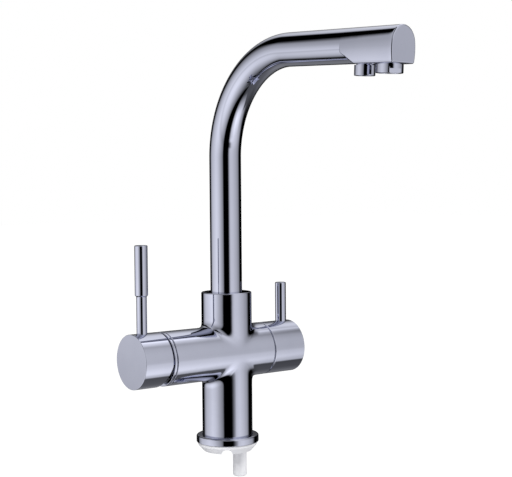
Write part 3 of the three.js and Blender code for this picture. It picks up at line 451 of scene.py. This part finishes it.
casting = make_casting()
carve(casting, *[rod("cut", *bore) for bore in BORES])
settle(casting, cast_chrome, "body", "chrome", "body_casting", weighted=False, sharp=32)
casting_normals(casting.data)

# ---------------------------------------------------------------- base
FLANGE_R, FLANGE_LOW, FLANGE_TOP = 27.7, 8.0, 14.4
FLANGE_BORE, STEP_R, STEP_Z = 19.5, 22.6, 11.0  # the step holds the sealing ring and the casting
GASKET_R, GASKET_FOOT_R, GASKET_BORE = 26.3, 21.2, 18.2
GASKET_SHOULDER, GASKET_TOP = 5.5, 7.7
NOTCH_R, FIRST_NOTCH = 4.7, 232  # the arched notches, 120 degrees apart
STEM_R, STEM_BORE, STEM_LOW = 6.1, 4.0, -24.0

flange_outline = [
    (FLANGE_BORE, FLANGE_LOW),
    (FLANGE_R, FLANGE_LOW, 0.4),
    (FLANGE_R, FLANGE_TOP, 1.7),
    (STEP_R, FLANGE_TOP, 0.15),
    (STEP_R, STEP_Z),
    (FLANGE_BORE, STEP_Z),
]
flange = turned("flange", rounded(flange_outline))
settle(flange, turned_chrome, "body", "chrome", "base_flange")

gasket_outline = [
    (GASKET_BORE, 0),
    (GASKET_FOOT_R, 0, 0.5),
    (GASKET_R, GASKET_SHOULDER, 0.8),
    (GASKET_R, GASKET_TOP, 0.3),
    (GASKET_BORE, GASKET_TOP),
]
gasket = turned("gasket_ring", rounded(gasket_outline))
notches = []
for k in range(3):
    angle = math.radians(FIRST_NOTCH + 120 * k)
    way = Vector((math.cos(angle), math.sin(angle), 0))
    notches.append(rod("cut", NOTCH_R, way * (GASKET_BORE - 2.2), way * (GASKET_R + 1.7), MEDIUM))
carve(gasket, *notches)
settle(gasket, white_plastic, "body", "white_plastic", "base_gasket", sharp=35)

stem_outline = [
    (STEM_BORE, STEM_LOW, 0.4),
    (STEM_R, STEM_LOW, 1.4),
    (STEM_R, INLET_TOP - 1, 0.3),
    (STEM_BORE, INLET_TOP - 1),
]
stem = turned("filter_stem", rounded(stem_outline), MEDIUM, at=(stem_x, stem_y, 0))
settle(stem, white_plastic, "body", "white_plastic", "filter_inlet_stem")

# ---------------------------------------------------------------- spout tube
BEND_LENGTH = BEND_R * BEND_ANGLE
SOCKET_END = 136.3  # height of the tube's lower end, inside the neck


def spout_frame(along):
    """The middle line's point and its upward normal; along is the distance past the bend's start."""
    if along <= 0:
        return Vector((0, 0, BEND_Z + along)), Vector((0, 1, 0))
    angle = min(along / BEND_R, BEND_ANGLE)
    point = Vector((0, BEND_R * (math.cos(angle) - 1), BEND_Z + BEND_R * math.sin(angle)))
    normal = Vector((0, math.cos(angle), math.sin(angle)))
    if along > BEND_LENGTH:
        point += (along - BEND_LENGTH) * ARM_WAY
    return point, normal


ARM_WAY = Vector((0, -math.sin(BEND_ANGLE), math.cos(BEND_ANGLE)))
ARM_UP = Vector((0, math.cos(BEND_ANGLE), math.sin(BEND_ANGLE)))
TIP = spout_frame(BEND_LENGTH + ARM_LENGTH)[0]
TIP_FRAME = Matrix(((1, 0, 0), ARM_UP, ARM_WAY)).transposed()


def tip_point(x, h, t):
    """A point near the spout's end: across, up across the arm, and out along it from the end face."""
    return tuple(TIP + TIP_FRAME @ Vector((x, h, t)))


def make_spout_tube():
    """The hollow tube of the riser, the bend and the arm, up to the head."""
    steps, sides = 96, FINE
    along = [SOCKET_END - BEND_Z, -40, -4]
    along += [BEND_LENGTH * k / steps for k in range(steps + 1)]
    along += [BEND_LENGTH + 4, BEND_LENGTH + ARM_LENGTH - HEAD]
    side = Vector((1, 0, 0))
    vertices, faces = [], []
    rows = [(a, TUBE_R) for a in along] + [(a, TUBE_R - TUBE_WALL) for a in reversed(along)]
    for a, r in rows:
        point, normal = spout_frame(a)
        for i in range(sides):
            angle = 2 * math.pi * i / sides
            vertices.append(tuple(point + r * (math.cos(angle) * side + math.sin(angle) * normal)))
    for k in range(len(rows)):
        a, b = k * sides, (k + 1) % len(rows) * sides
        for i in range(sides):
            n = (i + 1) % sides
            faces.append((a + i, a + n, b + n, b + i))
    return new_object("riser_and_arm", vertices, faces)


settle(make_spout_tube(), tube_chrome, "spout", "chrome", "spout_tube", weighted=False)

# ---------------------------------------------------------------- spout head
BOTTOM = 14.8  # from the arm's middle line down to the flat underside
CORNER = 1.8  # radius of the underside's long edges
SLANT_START, SLANT_RUN = 5.9, 14.0  # where the sloping rear edge starts, below and along the arm
END_HALF = 12.7  # half the head's width at its end face
END_EDGE = 1.5  # rounding of the end face's edge
REAR_TURN = math.radians(60)  # how far the rear edge's rounding turns
REAR_DEPTH = 1.9  # its greatest depth, where it doesn't take more than a share of the step
REAR_SHARE = 0.8
SPRINGING = math.radians(8)  # where the round top passes into the flatter sides
SIDE_R = 46.0
CENTRE_X = (SIDE_R - TUBE_R) * math.cos(SPRINGING)
CENTRE_Y = -(SIDE_R - TUBE_R) * math.sin(SPRINGING)
FOOT = math.asin((CENTRE_Y + BOTTOM - CORNER) / (SIDE_R - CORNER))
CORNER_X = (SIDE_R - CORNER) * math.cos(FOOT) - CENTRE_X


def arc_points(x, y, r, start, end, count):
    """Points along an arc, without its first."""
    turns = [start + (end - start) * i / count for i in range(1, count + 1)]
    return [(x + r * math.cos(a), y + r * math.sin(a)) for a in turns]


def head_section():
    """The head's outline as points (x, h), counted round from its right side."""
    left = arc_points(CENTRE_X, CENTRE_Y, SIDE_R, math.pi - SPRINGING, math.pi + FOOT, 24)
    left += arc_points(-CORNER_X, CORNER - BOTTOM, CORNER, math.pi + FOOT, 1.5 * math.pi, 8)
    top = arc_points(0, 0, TUBE_R, SPRINGING, math.pi - SPRINGING, 96)
    across = [(CORNER_X * (i / 6 - 1), -BOTTOM) for i in range(1, 12)]
    return top + left + across + [(-x, h) for x, h in reversed(left)] + [(-top[-1][0], top[-1][1])]


def head_x(x, t):
    """How far across a point of the section lies at a place along the head, which narrows to its end."""
    rear_half = SIDE_R - CENTRE_X
    share = min(max(1 + t / HEAD, 0), 1)
    return x * (1 + (END_HALF / rear_half - 1) * share**1.4)


def rear_place(h):
    """Where the head's rear edge lies at a height across the arm."""
    return -HEAD + max(0.0, -SLANT_START - h) * SLANT_RUN / (BOTTOM - SLANT_START)


def make_head():
    """The spout's head: rows of its section, from the end face back to the tube."""
    section = head_section()
    count = len(section)
    outward = []
    for i in range(count):
        a, b = section[i - 1], section[(i + 1) % count]
        outward.append(Vector((b[1] - a[1], a[0] - b[0])).normalized())
    rows = []
    # The flat end face's rounded edge.
    for k in range(6):
        bow = math.pi / 2 * k / 5
        inset = END_EDGE * (1 - math.sin(bow))
        t = -END_EDGE + END_EDGE * math.cos(bow)
        row = [(head_x(x - n[0] * inset, 0), h - n[1] * inset, t) for (x, h), n in zip(section, outward)]
        rows.append(row)
    # The radius of the rear edge's rounding, from how far the side stands proud of the tube.
    radii = []
    for x, h in section:
        proud = max(math.hypot(head_x(x, rear_place(h)), h) - TUBE_R, 0)
        radii.append(min(REAR_SHARE * proud, REAR_DEPTH) / (1 - math.cos(REAR_TURN)))
    stretch = 30
    for k in range(1, stretch + 1):
        row = []
        for (x, h), r in zip(section, radii):
            t = -END_EDGE + (rear_place(h) + r * math.sin(REAR_TURN) + END_EDGE) * k / stretch
            row.append((head_x(x, t), h, t))
        rows.append(row)
    # The rounded rear edge, the sloping face and the tube's round underside.
    for k in range(1, 9):
        bow = REAR_TURN * k / 8
        row = []
        for (x, h), n, r in zip(section, outward, radii):
            inset = r * (1 - math.cos(bow))
            low = h - n[1] * inset
            t = rear_place(low) + r * (math.sin(REAR_TURN) - math.sin(bow))
            row.append((head_x(x, t) - n[0] * inset, low, t))
        rows.append(row)
    foot, back = [], []
    for x, h in section:
        angle = math.atan2(h, head_x(x, rear_place(h)))
        a, b = TUBE_R * math.cos(angle), TUBE_R * math.sin(angle)
        foot.append((a, b, rear_place(b)))
        back.append((a, b, -HEAD))
    rows += [foot, back]
    vertices = [tip_point(*p) for row in rows for p in row]
    faces = []
    for k in range(len(rows) - 1):
        a, b = k * count, (k + 1) * count
        for i in range(count):
            n = (i + 1) % count
            faces.append((a + i, a + n, b + n, b + i))
    faces.append(tuple(range(count)))
    last = (len(rows) - 1) * count
    faces.append(tuple(last + i for i in range(count)))
    return new_object("head_casting", vertices, faces)


settle(make_head(), cast_chrome, "spout", "chrome", "spout_head", sharp=28)

# ---------------------------------------------------------------- outlets
MIXED_AT, MIXED_DROP = 14.4, 21.9  # back from the end face, and down from the arm's middle line
FILTERED_AT, FILTERED_DROP = 41.5, 23.3
NECK_WALL, NECK_LENGTH = 1.1, 5.0  # the necks that stand up into the head
FLAT_HEIGHT, FLAT_DEPTH = 3.4, 1.06  # the spanner flats
FLAT_TURN = -18  # degrees, from square to the arm


def hang(piece, from_end):
    """Moves a piece made about Z to hang below the arm, from_end back from the end face."""
    for vertex in piece.data.vertices:
        x, y, z = vertex.co / MM
        vertex.co = Vector(tip_point(x, z, -from_end - y)) * MM
    return piece


def make_outlet(name, from_end, drop, r, bore, flats):
    """An outlet's chrome housing, with a neck that stands up into the head."""
    neck = bore + NECK_WALL
    seat = -BOTTOM - GAP
    outline = [
        (bore, -drop, 0.4),
        (r, -drop, 0.7),
        (r, seat, 0.2),
        (neck, seat),
        (neck, seat + NECK_LENGTH),
        (bore, seat + NECK_LENGTH),
    ]
    piece = turned(name, rounded(outline), MEDIUM)
    if flats:
        cutters = []
        for half in (0, 180):
            turn = Matrix.Rotation(math.radians(half + FLAT_TURN), 3, "Z")
            place = lambda a, b, d, turn=turn: tuple(turn @ Vector((a, d, b)))
            low, high = -drop - 1, -drop + FLAT_HEIGHT
            outline = [(-r, low), (r, low), (r, high), (-r, high)]
            cutters.append(prism("cut", outline, place, r - FLAT_DEPTH, r + 2))
        carve(piece, *cutters)
    return hang(piece, from_end)


def make_jets(name, from_end, drop, r, recess, middle, count, outer, pitch):
    """An outlet's disc, with one hole in its middle and a ring of smaller holes."""
    face, top = -drop + recess, -drop + 5
    disc = turned(name, rounded([(0, face), (r, face, 0.3), (r, top), (0, top)]), MEDIUM)
    low, high = -drop - 1, -drop + 6
    holes = [rod("cut", middle, (0, 0, low), (0, 0, high), 24)]
    for k in range(count):
        angle = 2 * math.pi * k / count
        x, y = pitch * math.cos(angle), pitch * math.sin(angle)
        holes.append(rod("cut", outer, (x, y, low), (x, y, high), 24))
    carve(disc, *holes)
    return hang(disc, from_end)


aerator = make_outlet("mixed_outlet", MIXED_AT, MIXED_DROP, r=10.5, bore=8.0, flats=True)
settle(aerator, turned_chrome, "spout", "chrome", "aerator_housing", sharp=35)
nozzle = make_outlet("filtered_outlet", FILTERED_AT, FILTERED_DROP, r=8.2, bore=5.6, flats=False)
settle(nozzle, turned_chrome, "spout", "chrome", "filtered_nozzle")
jets = make_jets(
    "mixed_jets", MIXED_AT, MIXED_DROP, r=7.7, recess=0.6, middle=1.6, count=8, outer=1.1, pitch=4.9
)
settle(jets, jet_plastic, "spout", "white_plastic", "aerator_insert")
jets = make_jets(
    "filtered_jets", FILTERED_AT, FILTERED_DROP, r=5.3, recess=1.2, middle=1.1, count=6, outer=0.9, pitch=3.3
)
settle(jets, grey_plastic, "spout", "grey_plastic", "nozzle_insert")

# ---------------------------------------------------------------- handles' shared parts
CAP_FLOOR = 3.0  # thickness of the caps' outer ends
HUB_R = 8.5
PAST = 26.0  # out from the handles' axis, past every cap, where its cutters end
SET_SCREW_R = 2.0


def make_cap(name, lever_x, lever_r, rear, front, hub_from, square, square_to):
    """A handle's cap and its holes' cutters: a cup closed at its outer end, with a hub inside.

    The lengths count outwards from the body's axis; square is half the spindle's width.
    """
    sign = math.copysign(1, lever_x)
    inner, floor = CAP_R - CAP_WALL, front - CAP_FLOOR
    outline = [
        (0, front),
        (CAP_R, front, 0.45),
        (CAP_R, rear, 1.2),
        (inner, rear, 0.2),
        (inner, floor),
        (HUB_R, floor),
        (HUB_R, hub_from),
        (0, hub_from),
    ]
    outline = [(r, sign * x) for r, x in rounded(outline)]
    cap = turned(name, outline, 192, axis="X", at=(0, 0, AXIS_Z))
    middle = (lever_x, 0, AXIS_Z)
    top, low = (lever_x, 0, AXIS_Z + PAST), (lever_x, 0, AXIS_Z - PAST)
    lever = rod("cut", lever_r + GAP, (lever_x, 0, AXIS_Z + square), top, MEDIUM)
    screw_hole = rod("cut", SET_SCREW_R + GAP, middle, low)
    corners = [(-square, -square), (square, -square), (square, square), (-square, square)]
    place = lambda a, b, d: (d, a, b + AXIS_Z)
    socket = prism("cut", corners, place, *sorted((sign * (hub_from - 1), sign * square_to)))
    return cap, [lever, screw_hole, socket]


# ---------------------------------------------------------------- mixer handle
# The shroud is the ring behind the cap with the dome that stands into it. The lengths along the
# handles' axis count out from the body's axis.
PIVOT = 62.0  # where the lever's lifting axis lies
LIFT = math.radians(17)
MIXER_REAR = 72.0  # the cap's rear edge
SHROUD_REAR, RING_START, RING_END, DOME_END = 68.5, 68.8, 71.1, 78.1
SHROUD_BORE, SHROUD_SEAT_R, DOME_WALL = 15.5, 19.5, 2.0
DOME_R = math.hypot(MIXER_REAR - PIVOT, CAP_R - CAP_WALL) - 0.6


def dome_points(r, start, end, count):
    """The curve of a ball about the pivot, as (radius, place along the axis)."""
    places = [start + (end - start) * k / count for k in range(count + 1)]
    return [(math.sqrt(r**2 - (x - PIVOT) ** 2), x) for x in places]


shroud_outline = [
    (SHROUD_BORE, SHROUD_REAR),
    (SHROUD_SEAT_R, SHROUD_REAR),
    (SHROUD_SEAT_R, RING_START),
    (CAP_R, RING_START, 0.3),
    (CAP_R, RING_END, 0.6),
]
shroud_outline += dome_points(DOME_R, RING_END, DOME_END, 24)
shroud_outline += dome_points(DOME_R - DOME_WALL, DOME_END - 1.4, RING_END + 0.6, 12)
shroud = turned("shroud_ring", [(r, -x) for r, x in rounded(shroud_outline)], axis="X", at=(0, 0, AXIS_Z))
settle(shroud, turned_chrome, "body", "chrome", "mixer_shroud")

mixer_cap, cutters = make_cap(
    "mixer_handle_cap",
    MIXER_X,
    MIXER_ROD_R,
    rear=MIXER_REAR,
    front=100.0,
    hub_from=82.0,
    square=3.8,
    square_to=93.0,
)
# The lower half of the cap's rear edge leans away, so that the lifted cap clears the ring.
scoop_top = AXIS_Z - GAP
scoop_low = scoop_top - CAP_R - 2
lean = (scoop_top - scoop_low) * math.tan(LIFT)
scoop = [
    (-MIXER_REAR, scoop_top),
    (-MIXER_REAR - lean, scoop_low),
    (5 - MIXER_REAR, scoop_low),
    (5 - MIXER_REAR, scoop_top),
]
cutters.append(prism("cut", scoop, lambda a, b, d: (a, d, b), -PAST, PAST))
carve(mixer_cap, *cutters)
settle(mixer_cap, turned_chrome, "mixer_lift", "chrome", "mixer_cap", sharp=35)

GRIP_R, GRIP_FROM, MIXER_TOP = 5.6, AXIS_Z + 55, AXIS_Z + 98.2
CORE_R, GRIP_FLOOR = 3.0, 4.0  # the rod inside the grip, and the thickness of the grip's top
core_top = MIXER_TOP - GRIP_FLOOR - GAP
lever_outline = [
    (0, AXIS_Z + MIXER_SEAT),
    (MIXER_ROD_R, AXIS_Z + MIXER_SEAT),
    (MIXER_ROD_R, GRIP_FROM - GAP),
    (CORE_R, GRIP_FROM - GAP),
    (CORE_R, core_top),
    (0, core_top),
]
lever = turned("mixer_rod", rounded(lever_outline), MEDIUM, at=(MIXER_X, 0, 0))
settle(lever, turned_chrome, "mixer_lift", "chrome", "mixer_lever")
grip_outline = [
    (CORE_R + GAP, GRIP_FROM, 0.1),
    (GRIP_R - 0.9, GRIP_FROM, 0.2),
    (GRIP_R, GRIP_FROM + 0.9, 0.4),
    (GRIP_R, MIXER_TOP, 0.8),
    (0, MIXER_TOP),
    (0, MIXER_TOP - GRIP_FLOOR),
    (CORE_R + GAP, MIXER_TOP - GRIP_FLOOR),
]
grip = turned("mixer_grip_sleeve", rounded(grip_outline), MEDIUM, at=(MIXER_X, 0, 0))
settle(grip, turned_chrome, "mixer_lift", "chrome", "mixer_grip")

# ---------------------------------------------------------------- filtered-water handle
FILTER_TOP = AXIS_Z + 58.7

filter_cap, cutters = make_cap(
    "filter_handle_cap",
    FILTER_X,
    FILTER_ROD_R,
    rear=37.2,
    front=70.9,
    hub_from=44.3,
    square=3.3,
    square_to=63.9,
)
carve(filter_cap, *cutters)
settle(filter_cap, turned_chrome, "filter_turn", "chrome", "filter_cap", sharp=35)
lever_outline = [
    (0, AXIS_Z + FILTER_SEAT),
    (FILTER_ROD_R, AXIS_Z + FILTER_SEAT),
    (FILTER_ROD_R, FILTER_TOP, 0.8),
    (0, FILTER_TOP),
]
lever = turned("filter_rod", rounded(lever_outline), MEDIUM, at=(FILTER_X, 0, 0))
settle(lever, turned_chrome, "filter_turn", "chrome", "filter_lever")

# ---------------------------------------------------------------- screws
SET_SCREW_LENGTH, SET_SOCKET_DEPTH = 4.4, 2.0
HEXAGON = [(math.cos(math.pi * k / 3), math.sin(math.pi * k / 3)) for k in range(6)]


def make_set_screw(name, x, seat, body, node):
    """The screw across the axis from a lever's foot, with a hexagon socket in its lower end."""
    top = AXIS_Z - seat
    end = top - SET_SCREW_LENGTH
    outline = rounded([(0, top), (SET_SCREW_R, top, 0.3), (SET_SCREW_R, end, 0.3), (0, end)])
    screw = turned(name, outline, 48, at=(x, 0, 0))
    place = lambda a, b, d: (x + a, b, d)
    carve(screw, prism("cut", HEXAGON, place, end - 1, end + SET_SOCKET_DEPTH))
    settle(screw, steel, body, "steel", node)


make_set_screw("mixer_grub_screw", MIXER_X, MIXER_SEAT, "mixer_lift", "mixer_set_screw")
make_set_screw("filter_grub_screw", FILTER_X, FILTER_SEAT, "filter_turn", "filter_set_screw")

NECK_SCREW_R, TIP_R, NECK_SOCKET_R = 2.3, 1.2, 1.2  # its thread, its pointed end and its hexagon
NECK_SCREW_FROM, POINT_LENGTH, NECK_SCREW_TO = 13.2, 2.2, 20.6  # out from the body's axis

outline = [
    (0, NECK_SCREW_FROM),
    (TIP_R, NECK_SCREW_FROM),
    (NECK_SCREW_R, NECK_SCREW_FROM + POINT_LENGTH),
    (NECK_SCREW_R, NECK_SCREW_TO, 0.3),
    (0, NECK_SCREW_TO),
]
neck_screw = turned("neck_screw", rounded(outline), 48)
place = lambda a, b, d: (NECK_SOCKET_R * a, NECK_SOCKET_R * b, d)
carve(neck_screw, prism("cut", HEXAGON, place, NECK_SCREW_TO - 2.4, NECK_SCREW_TO + 1.4))
# Made upright, it is laid down in the back of the neck, with its point towards the axis.
for vertex in neck_screw.data.vertices:
    x, y, z = vertex.co
    vertex.co = (x, z, SCREW_Z * MM - y)
settle(neck_screw, steel, "body", "steel", "spout_retaining_screw")


# ---------------------------------------------------------------- studio
CAMERA_PLACE = Vector((-651.8, -881.7, 239.7))
CAMERA_LENS = 87.07
CAMERA_YAW = math.radians(-37.87)
CAMERA_DOWN = math.radians(2.687)
CAMERA_ROLL = math.radians(-0.444)
FLOOR_HALF = 6.0  # metres, as the next two are
BALL_R = 4.5
LAMPS_AIM = Vector((0, 0, 0.15))


def make_camera():
    """The camera at the photograph's viewing angle."""
    data = bpy.data.cameras.new("camera")
    data.sensor_width = 36
    data.lens = CAMERA_LENS
    data.clip_end = 50
    camera = bpy.data.objects.new("camera", data)
    bpy.context.scene.collection.objects.link(camera)
    level = Matrix.Rotation(CAMERA_YAW, 3, "Z") @ Matrix.Rotation(math.pi / 2 - CAMERA_DOWN, 3, "X")
    turn = level @ Matrix.Rotation(CAMERA_ROLL, 3, "Z")
    camera.matrix_world = Matrix.LocRotScale(CAMERA_PLACE * MM, turn, None)
    bpy.context.scene.camera = camera


def make_floor():
    """A pale floor just below the stem, almost white to the camera, that keeps the tap's shadow."""
    low, half = cad_box[0].z / MM - 0.5, FLOOR_HALF / MM
    corners = [(-half, -half, low), (half, -half, low), (half, half, low), (-half, half, low)]
    floor = new_object("floor", corners, [(0, 1, 2, 3)])
    material, tree, shader = node_material("floor")
    tree.nodes.remove(shader)
    seen = add_node(tree, "ShaderNodeLightPath").outputs["Is Camera Ray"]
    glow = add_node(tree, "ShaderNodeEmission", Color=(1, 1, 1, 1), Strength=0.93)
    shade = add_node(tree, "ShaderNodeBsdfDiffuse", Color=(0.17, 0.17, 0.17, 1))
    pale = add_node(tree, "ShaderNodeBsdfDiffuse", Color=(0.85, 0.85, 0.86, 1))
    both = add_node(tree, "ShaderNodeAddShader", i0=glow.outputs[0], i1=shade.outputs[0])
    mix = add_node(tree, "ShaderNodeMixShader", i0=seen, i1=pale.outputs[0], i2=both.outputs[0])
    tree.links.new(mix.outputs[0], tree.nodes["Material Output"].inputs["Surface"])
    floor.data.materials.append(material)
    floor.visible_glossy = False


def degrees_ramp(tree, value, limit, stops):
    """A ramp over the degrees from -limit to limit. It holds half the light, for lights over 1."""
    share = add_node(tree, "ShaderNodeMapRange", Value=value, i1=-limit, i2=limit)
    stops = [((at / limit + 1) / 2, light / 2) for at, light in stops]
    return ramp(tree, share.outputs["Result"], stops)


# The studio round the tap, as the chrome mirrors it. Each soft light has its light from side to
# side, in degrees to the left of the camera, and its strength from below to above.
SOFTBOXES = {
    "left": (
        [(13, 0), (18, 0.35), (26, 0.53), (35, 0.71), (45, 0.93), (56, 1.1), (70, 1.2), (84, 1.08),
         (97, 0.97), (104, 0.93), (112, 0.78), (118, 0.64), (124, 0.44), (129, 0.1), (132, 0)],
        [(-76, 0), (-66, 0.16), (-57, 0.32), (-50, 0.47), (-40, 0.68), (-28, 0.92), (-18, 0.98), (-13, 0.9),
         (-9, 0.75), (-4, 0.94), (0, 0.88), (9, 0.73), (14, 0.62), (22, 0.52), (60, 0.52)],
    ),
    "right": (
        [(-119, 0), (-113, 0.15), (-106, 0.36), (-100, 0.43), (-90, 0.51), (-84, 0.58), (-78, 0.62),
         (-66, 0.7), (-54, 0.78), (-40, 0.8), (-33, 0.68), (-28, 0.45), (-24, 0.1), (-20, 0)],
        [(-76, 0), (-68, 0.3), (-62, 0.6), (-56, 1), (-50, 1.5), (-42, 1.75), (-36, 1.7), (-26, 1.5),
         (-18, 1.36), (-10, 1.24), (-4, 1.04), (4, 1), (24, 1.05), (60, 1.1)],
    ),
}
# Black cards stand in front of the softboxes. Each has its cover from side to side and upwards.
CARDS = {
    "left_top": ([(100, 0), (110, 0.8), (114, 1), (140, 1)], [(22, 0), (28, 0.5), (33, 1), (70, 1)]),
    "right_top": ([(-112, 0.7), (-102, 0.5), (-94, 0)], [(10, 0), (18, 0.8), (42, 0.5), (52, 0)]),
    "right_low": (
        [(-52, 0), (-42, 0.8), (-30, 0.8), (-18, 0)],
        [(-60, 0.35), (-48, 0.4), (-38, 0.38), (-30, 0.25), (-20, 0.2), (-16, 0)],
    ),
    "right_side": (
        [(-116, 1), (-104, 1), (-90, 0.6), (-82, 0)],
        [(-56, 0.1), (-45, 0.35), (-33, 0.4), (-24, 0.25), (-16, 0)],
    ),
    "right_foot": ([(-113, 1), (-101, 1), (-94, 0)], [(-60, 1), (-43, 1), (-39, 0)]),
    "middle_foot": (
        [(-62, 0), (-54, 0.08), (-43, 0.2), (-40, 0.42), (-35, 0.62), (-28, 0.8), (-16, 1), (0, 0)],
        [(-15, 0), (-12, 1), (-8, 1), (-5.5, 0)],
    ),
}
# The rest of the room, beside, between and behind the softboxes.
SURROUNDINGS = {
    "backdrop": (
        [(-180, 0.45), (-165, 0.36), (-150, 0.25), (-136, 0), (146, 0), (154, 0.45), (180, 0.6)],
        [(-60, 0), (-50, 0.1), (-36, 0.35), (-20, 0.4), (-13, 0.15), (-9, 0), (7, 0), (12, 0.2), (22, 0.33),
         (32, 0.6), (50, 0.5)],
    ),
    "front": (
        [(-30, 0), (-20, 1), (13, 1), (22, 0)],
        [(10, 0), (20, 0.35), (34, 0.5), (44, 0.3), (52, 0)],
    ),
    "ceiling_front": (
        [(-134, 0), (-122, 0.8), (-108, 0.55), (-98, 0.32), (-90, 0)],
        [(47, 0), (52, 0.6), (57, 1.2), (66, 1.3)],
    ),
    "ceiling_back": (
        [(-180, 0.7), (-150, 0.8), (-128, 0.62), (-116, 0.2), (-108, 0), (142, 0), (150, 0.4), (165, 0.55),
         (180, 0.65)],
        [(26, 0), (37, 0.6), (43, 0.95), (60, 1.2)],
    ),
    "floor": (
        [(-180, 0.1), (-150, 0.09), (-100, 0.08), (-60, 0.08), (-20, 0), (14, 0), (40, 0.08), (130, 0),
         (180, 0.1)],
        [(-90, 1.2), (-60, 1.4), (-45, 1), (-30, 0.6), (-20, 0)],
    ),
}


def make_studio():
    """The studio that the chrome mirrors, painted inside a large ball."""
    ball = bpy.data.meshes.new("studio")
    work = bmesh.new()
    bmesh.ops.create_uvsphere(work, u_segments=96, v_segments=48, radius=BALL_R)
    work.to_mesh(ball)
    work.free()
    studio = bpy.data.objects.new("studio", ball)
    bpy.context.scene.collection.objects.link(studio)
    studio.rotation_euler = (0, 0, CAMERA_YAW - math.pi / 2)
    material, tree, shader = node_material("studio")
    tree.nodes.remove(shader)

    def math_node(operation, first, second=0.0):
        return add_node(tree, "ShaderNodeMath", {"operation": operation}, i0=first, i1=second).outputs[0]

    where = add_node(tree, "ShaderNodeTexCoord").outputs["Object"]
    way = add_node(tree, "ShaderNodeVectorMath", {"operation": "NORMALIZE"}, i0=where).outputs[0]
    split = add_node(tree, "ShaderNodeSeparateXYZ", i0=way).outputs
    left = math_node("MULTIPLY", math_node("ARCTAN2", split["Y"], split["X"]), -180 / math.pi)
    height = math_node("MULTIPLY", math_node("ARCSINE", split["Z"]), 180 / math.pi)

    def product(across, upward):
        """A light's or a card's share at a point, as a quarter of its value."""
        sideways, upwards = degrees_ramp(tree, left, 180, across), degrees_ramp(tree, height, 90, upward)
        return math_node("MULTIPLY", sideways, upwards)

    def total(lights, start):
        for across, upward in lights.values():
            start = math_node("ADD", product(across, upward), start)
        return start

    light = total(SOFTBOXES, 0.0)
    for across, upward in CARDS.values():
        seen = math_node("SUBTRACT", 1.0, math_node("MULTIPLY", product(across, upward), 4.0))
        light = math_node("MULTIPLY", light, seen)
    light = total(SURROUNDINGS, light)
    glow = add_node(tree, "ShaderNodeEmission", Color=light, Strength=4.0)
    tree.links.new(glow.outputs[0], tree.nodes["Material Output"].inputs["Surface"])
    ball.materials.append(material)
    for kind in ("camera", "diffuse", "transmission", "volume_scatter", "shadow"):
        setattr(studio, "visible_" + kind, False)


def make_world():
    """White to the camera and to mirror rays, and a soft pale light to the rest."""
    world = bpy.data.worlds.new("world")
    world.use_nodes = True
    bpy.context.scene.world = world
    tree = world.node_tree
    path = add_node(tree, "ShaderNodeLightPath").outputs
    seen = path["Is Camera Ray"]
    for ray in ("Is Glossy Ray", "Is Transmission Ray"):
        seen = add_node(tree, "ShaderNodeMath", {"operation": "MAXIMUM"}, i0=seen, i1=path[ray]).outputs[0]
    soft = tree.nodes["Background"]
    soft.inputs["Color"].default_value = (0.95, 0.96, 1, 1)
    soft.inputs["Strength"].default_value = 0.55
    white = add_node(tree, "ShaderNodeBackground", Color=(1, 1, 1, 1), Strength=1.0)
    mix = add_node(tree, "ShaderNodeMixShader", i0=seen, i1=soft.outputs[0], i2=white.outputs[0])
    tree.links.new(mix.outputs[0], tree.nodes["World Output"].inputs["Surface"])


def add_panel(name, place, power, size):
    """A soft lamp above the object, which lights it but isn't mirrored in the chrome."""
    data = bpy.data.lights.new(name, "AREA")
    data.shape = "DISK"
    data.size = size
    data.energy = power
    lamp = bpy.data.objects.new(name, data)
    bpy.context.scene.collection.objects.link(lamp)
    lamp.location = place
    lamp.rotation_mode = "QUATERNION"
    lamp.rotation_quaternion = (LAMPS_AIM - Vector(place)).to_track_quat("-Z", "Y")
    lamp.visible_glossy = False


make_camera()
make_floor()
make_studio()
make_world()
add_panel("key", (-1.2, -1.0, 1.6), power=26, size=1.2)
add_panel("fill", (1.4, -0.8, 1.1), power=12, size=1.4)

scene = bpy.context.scene
scene.view_settings.view_transform = "Standard"
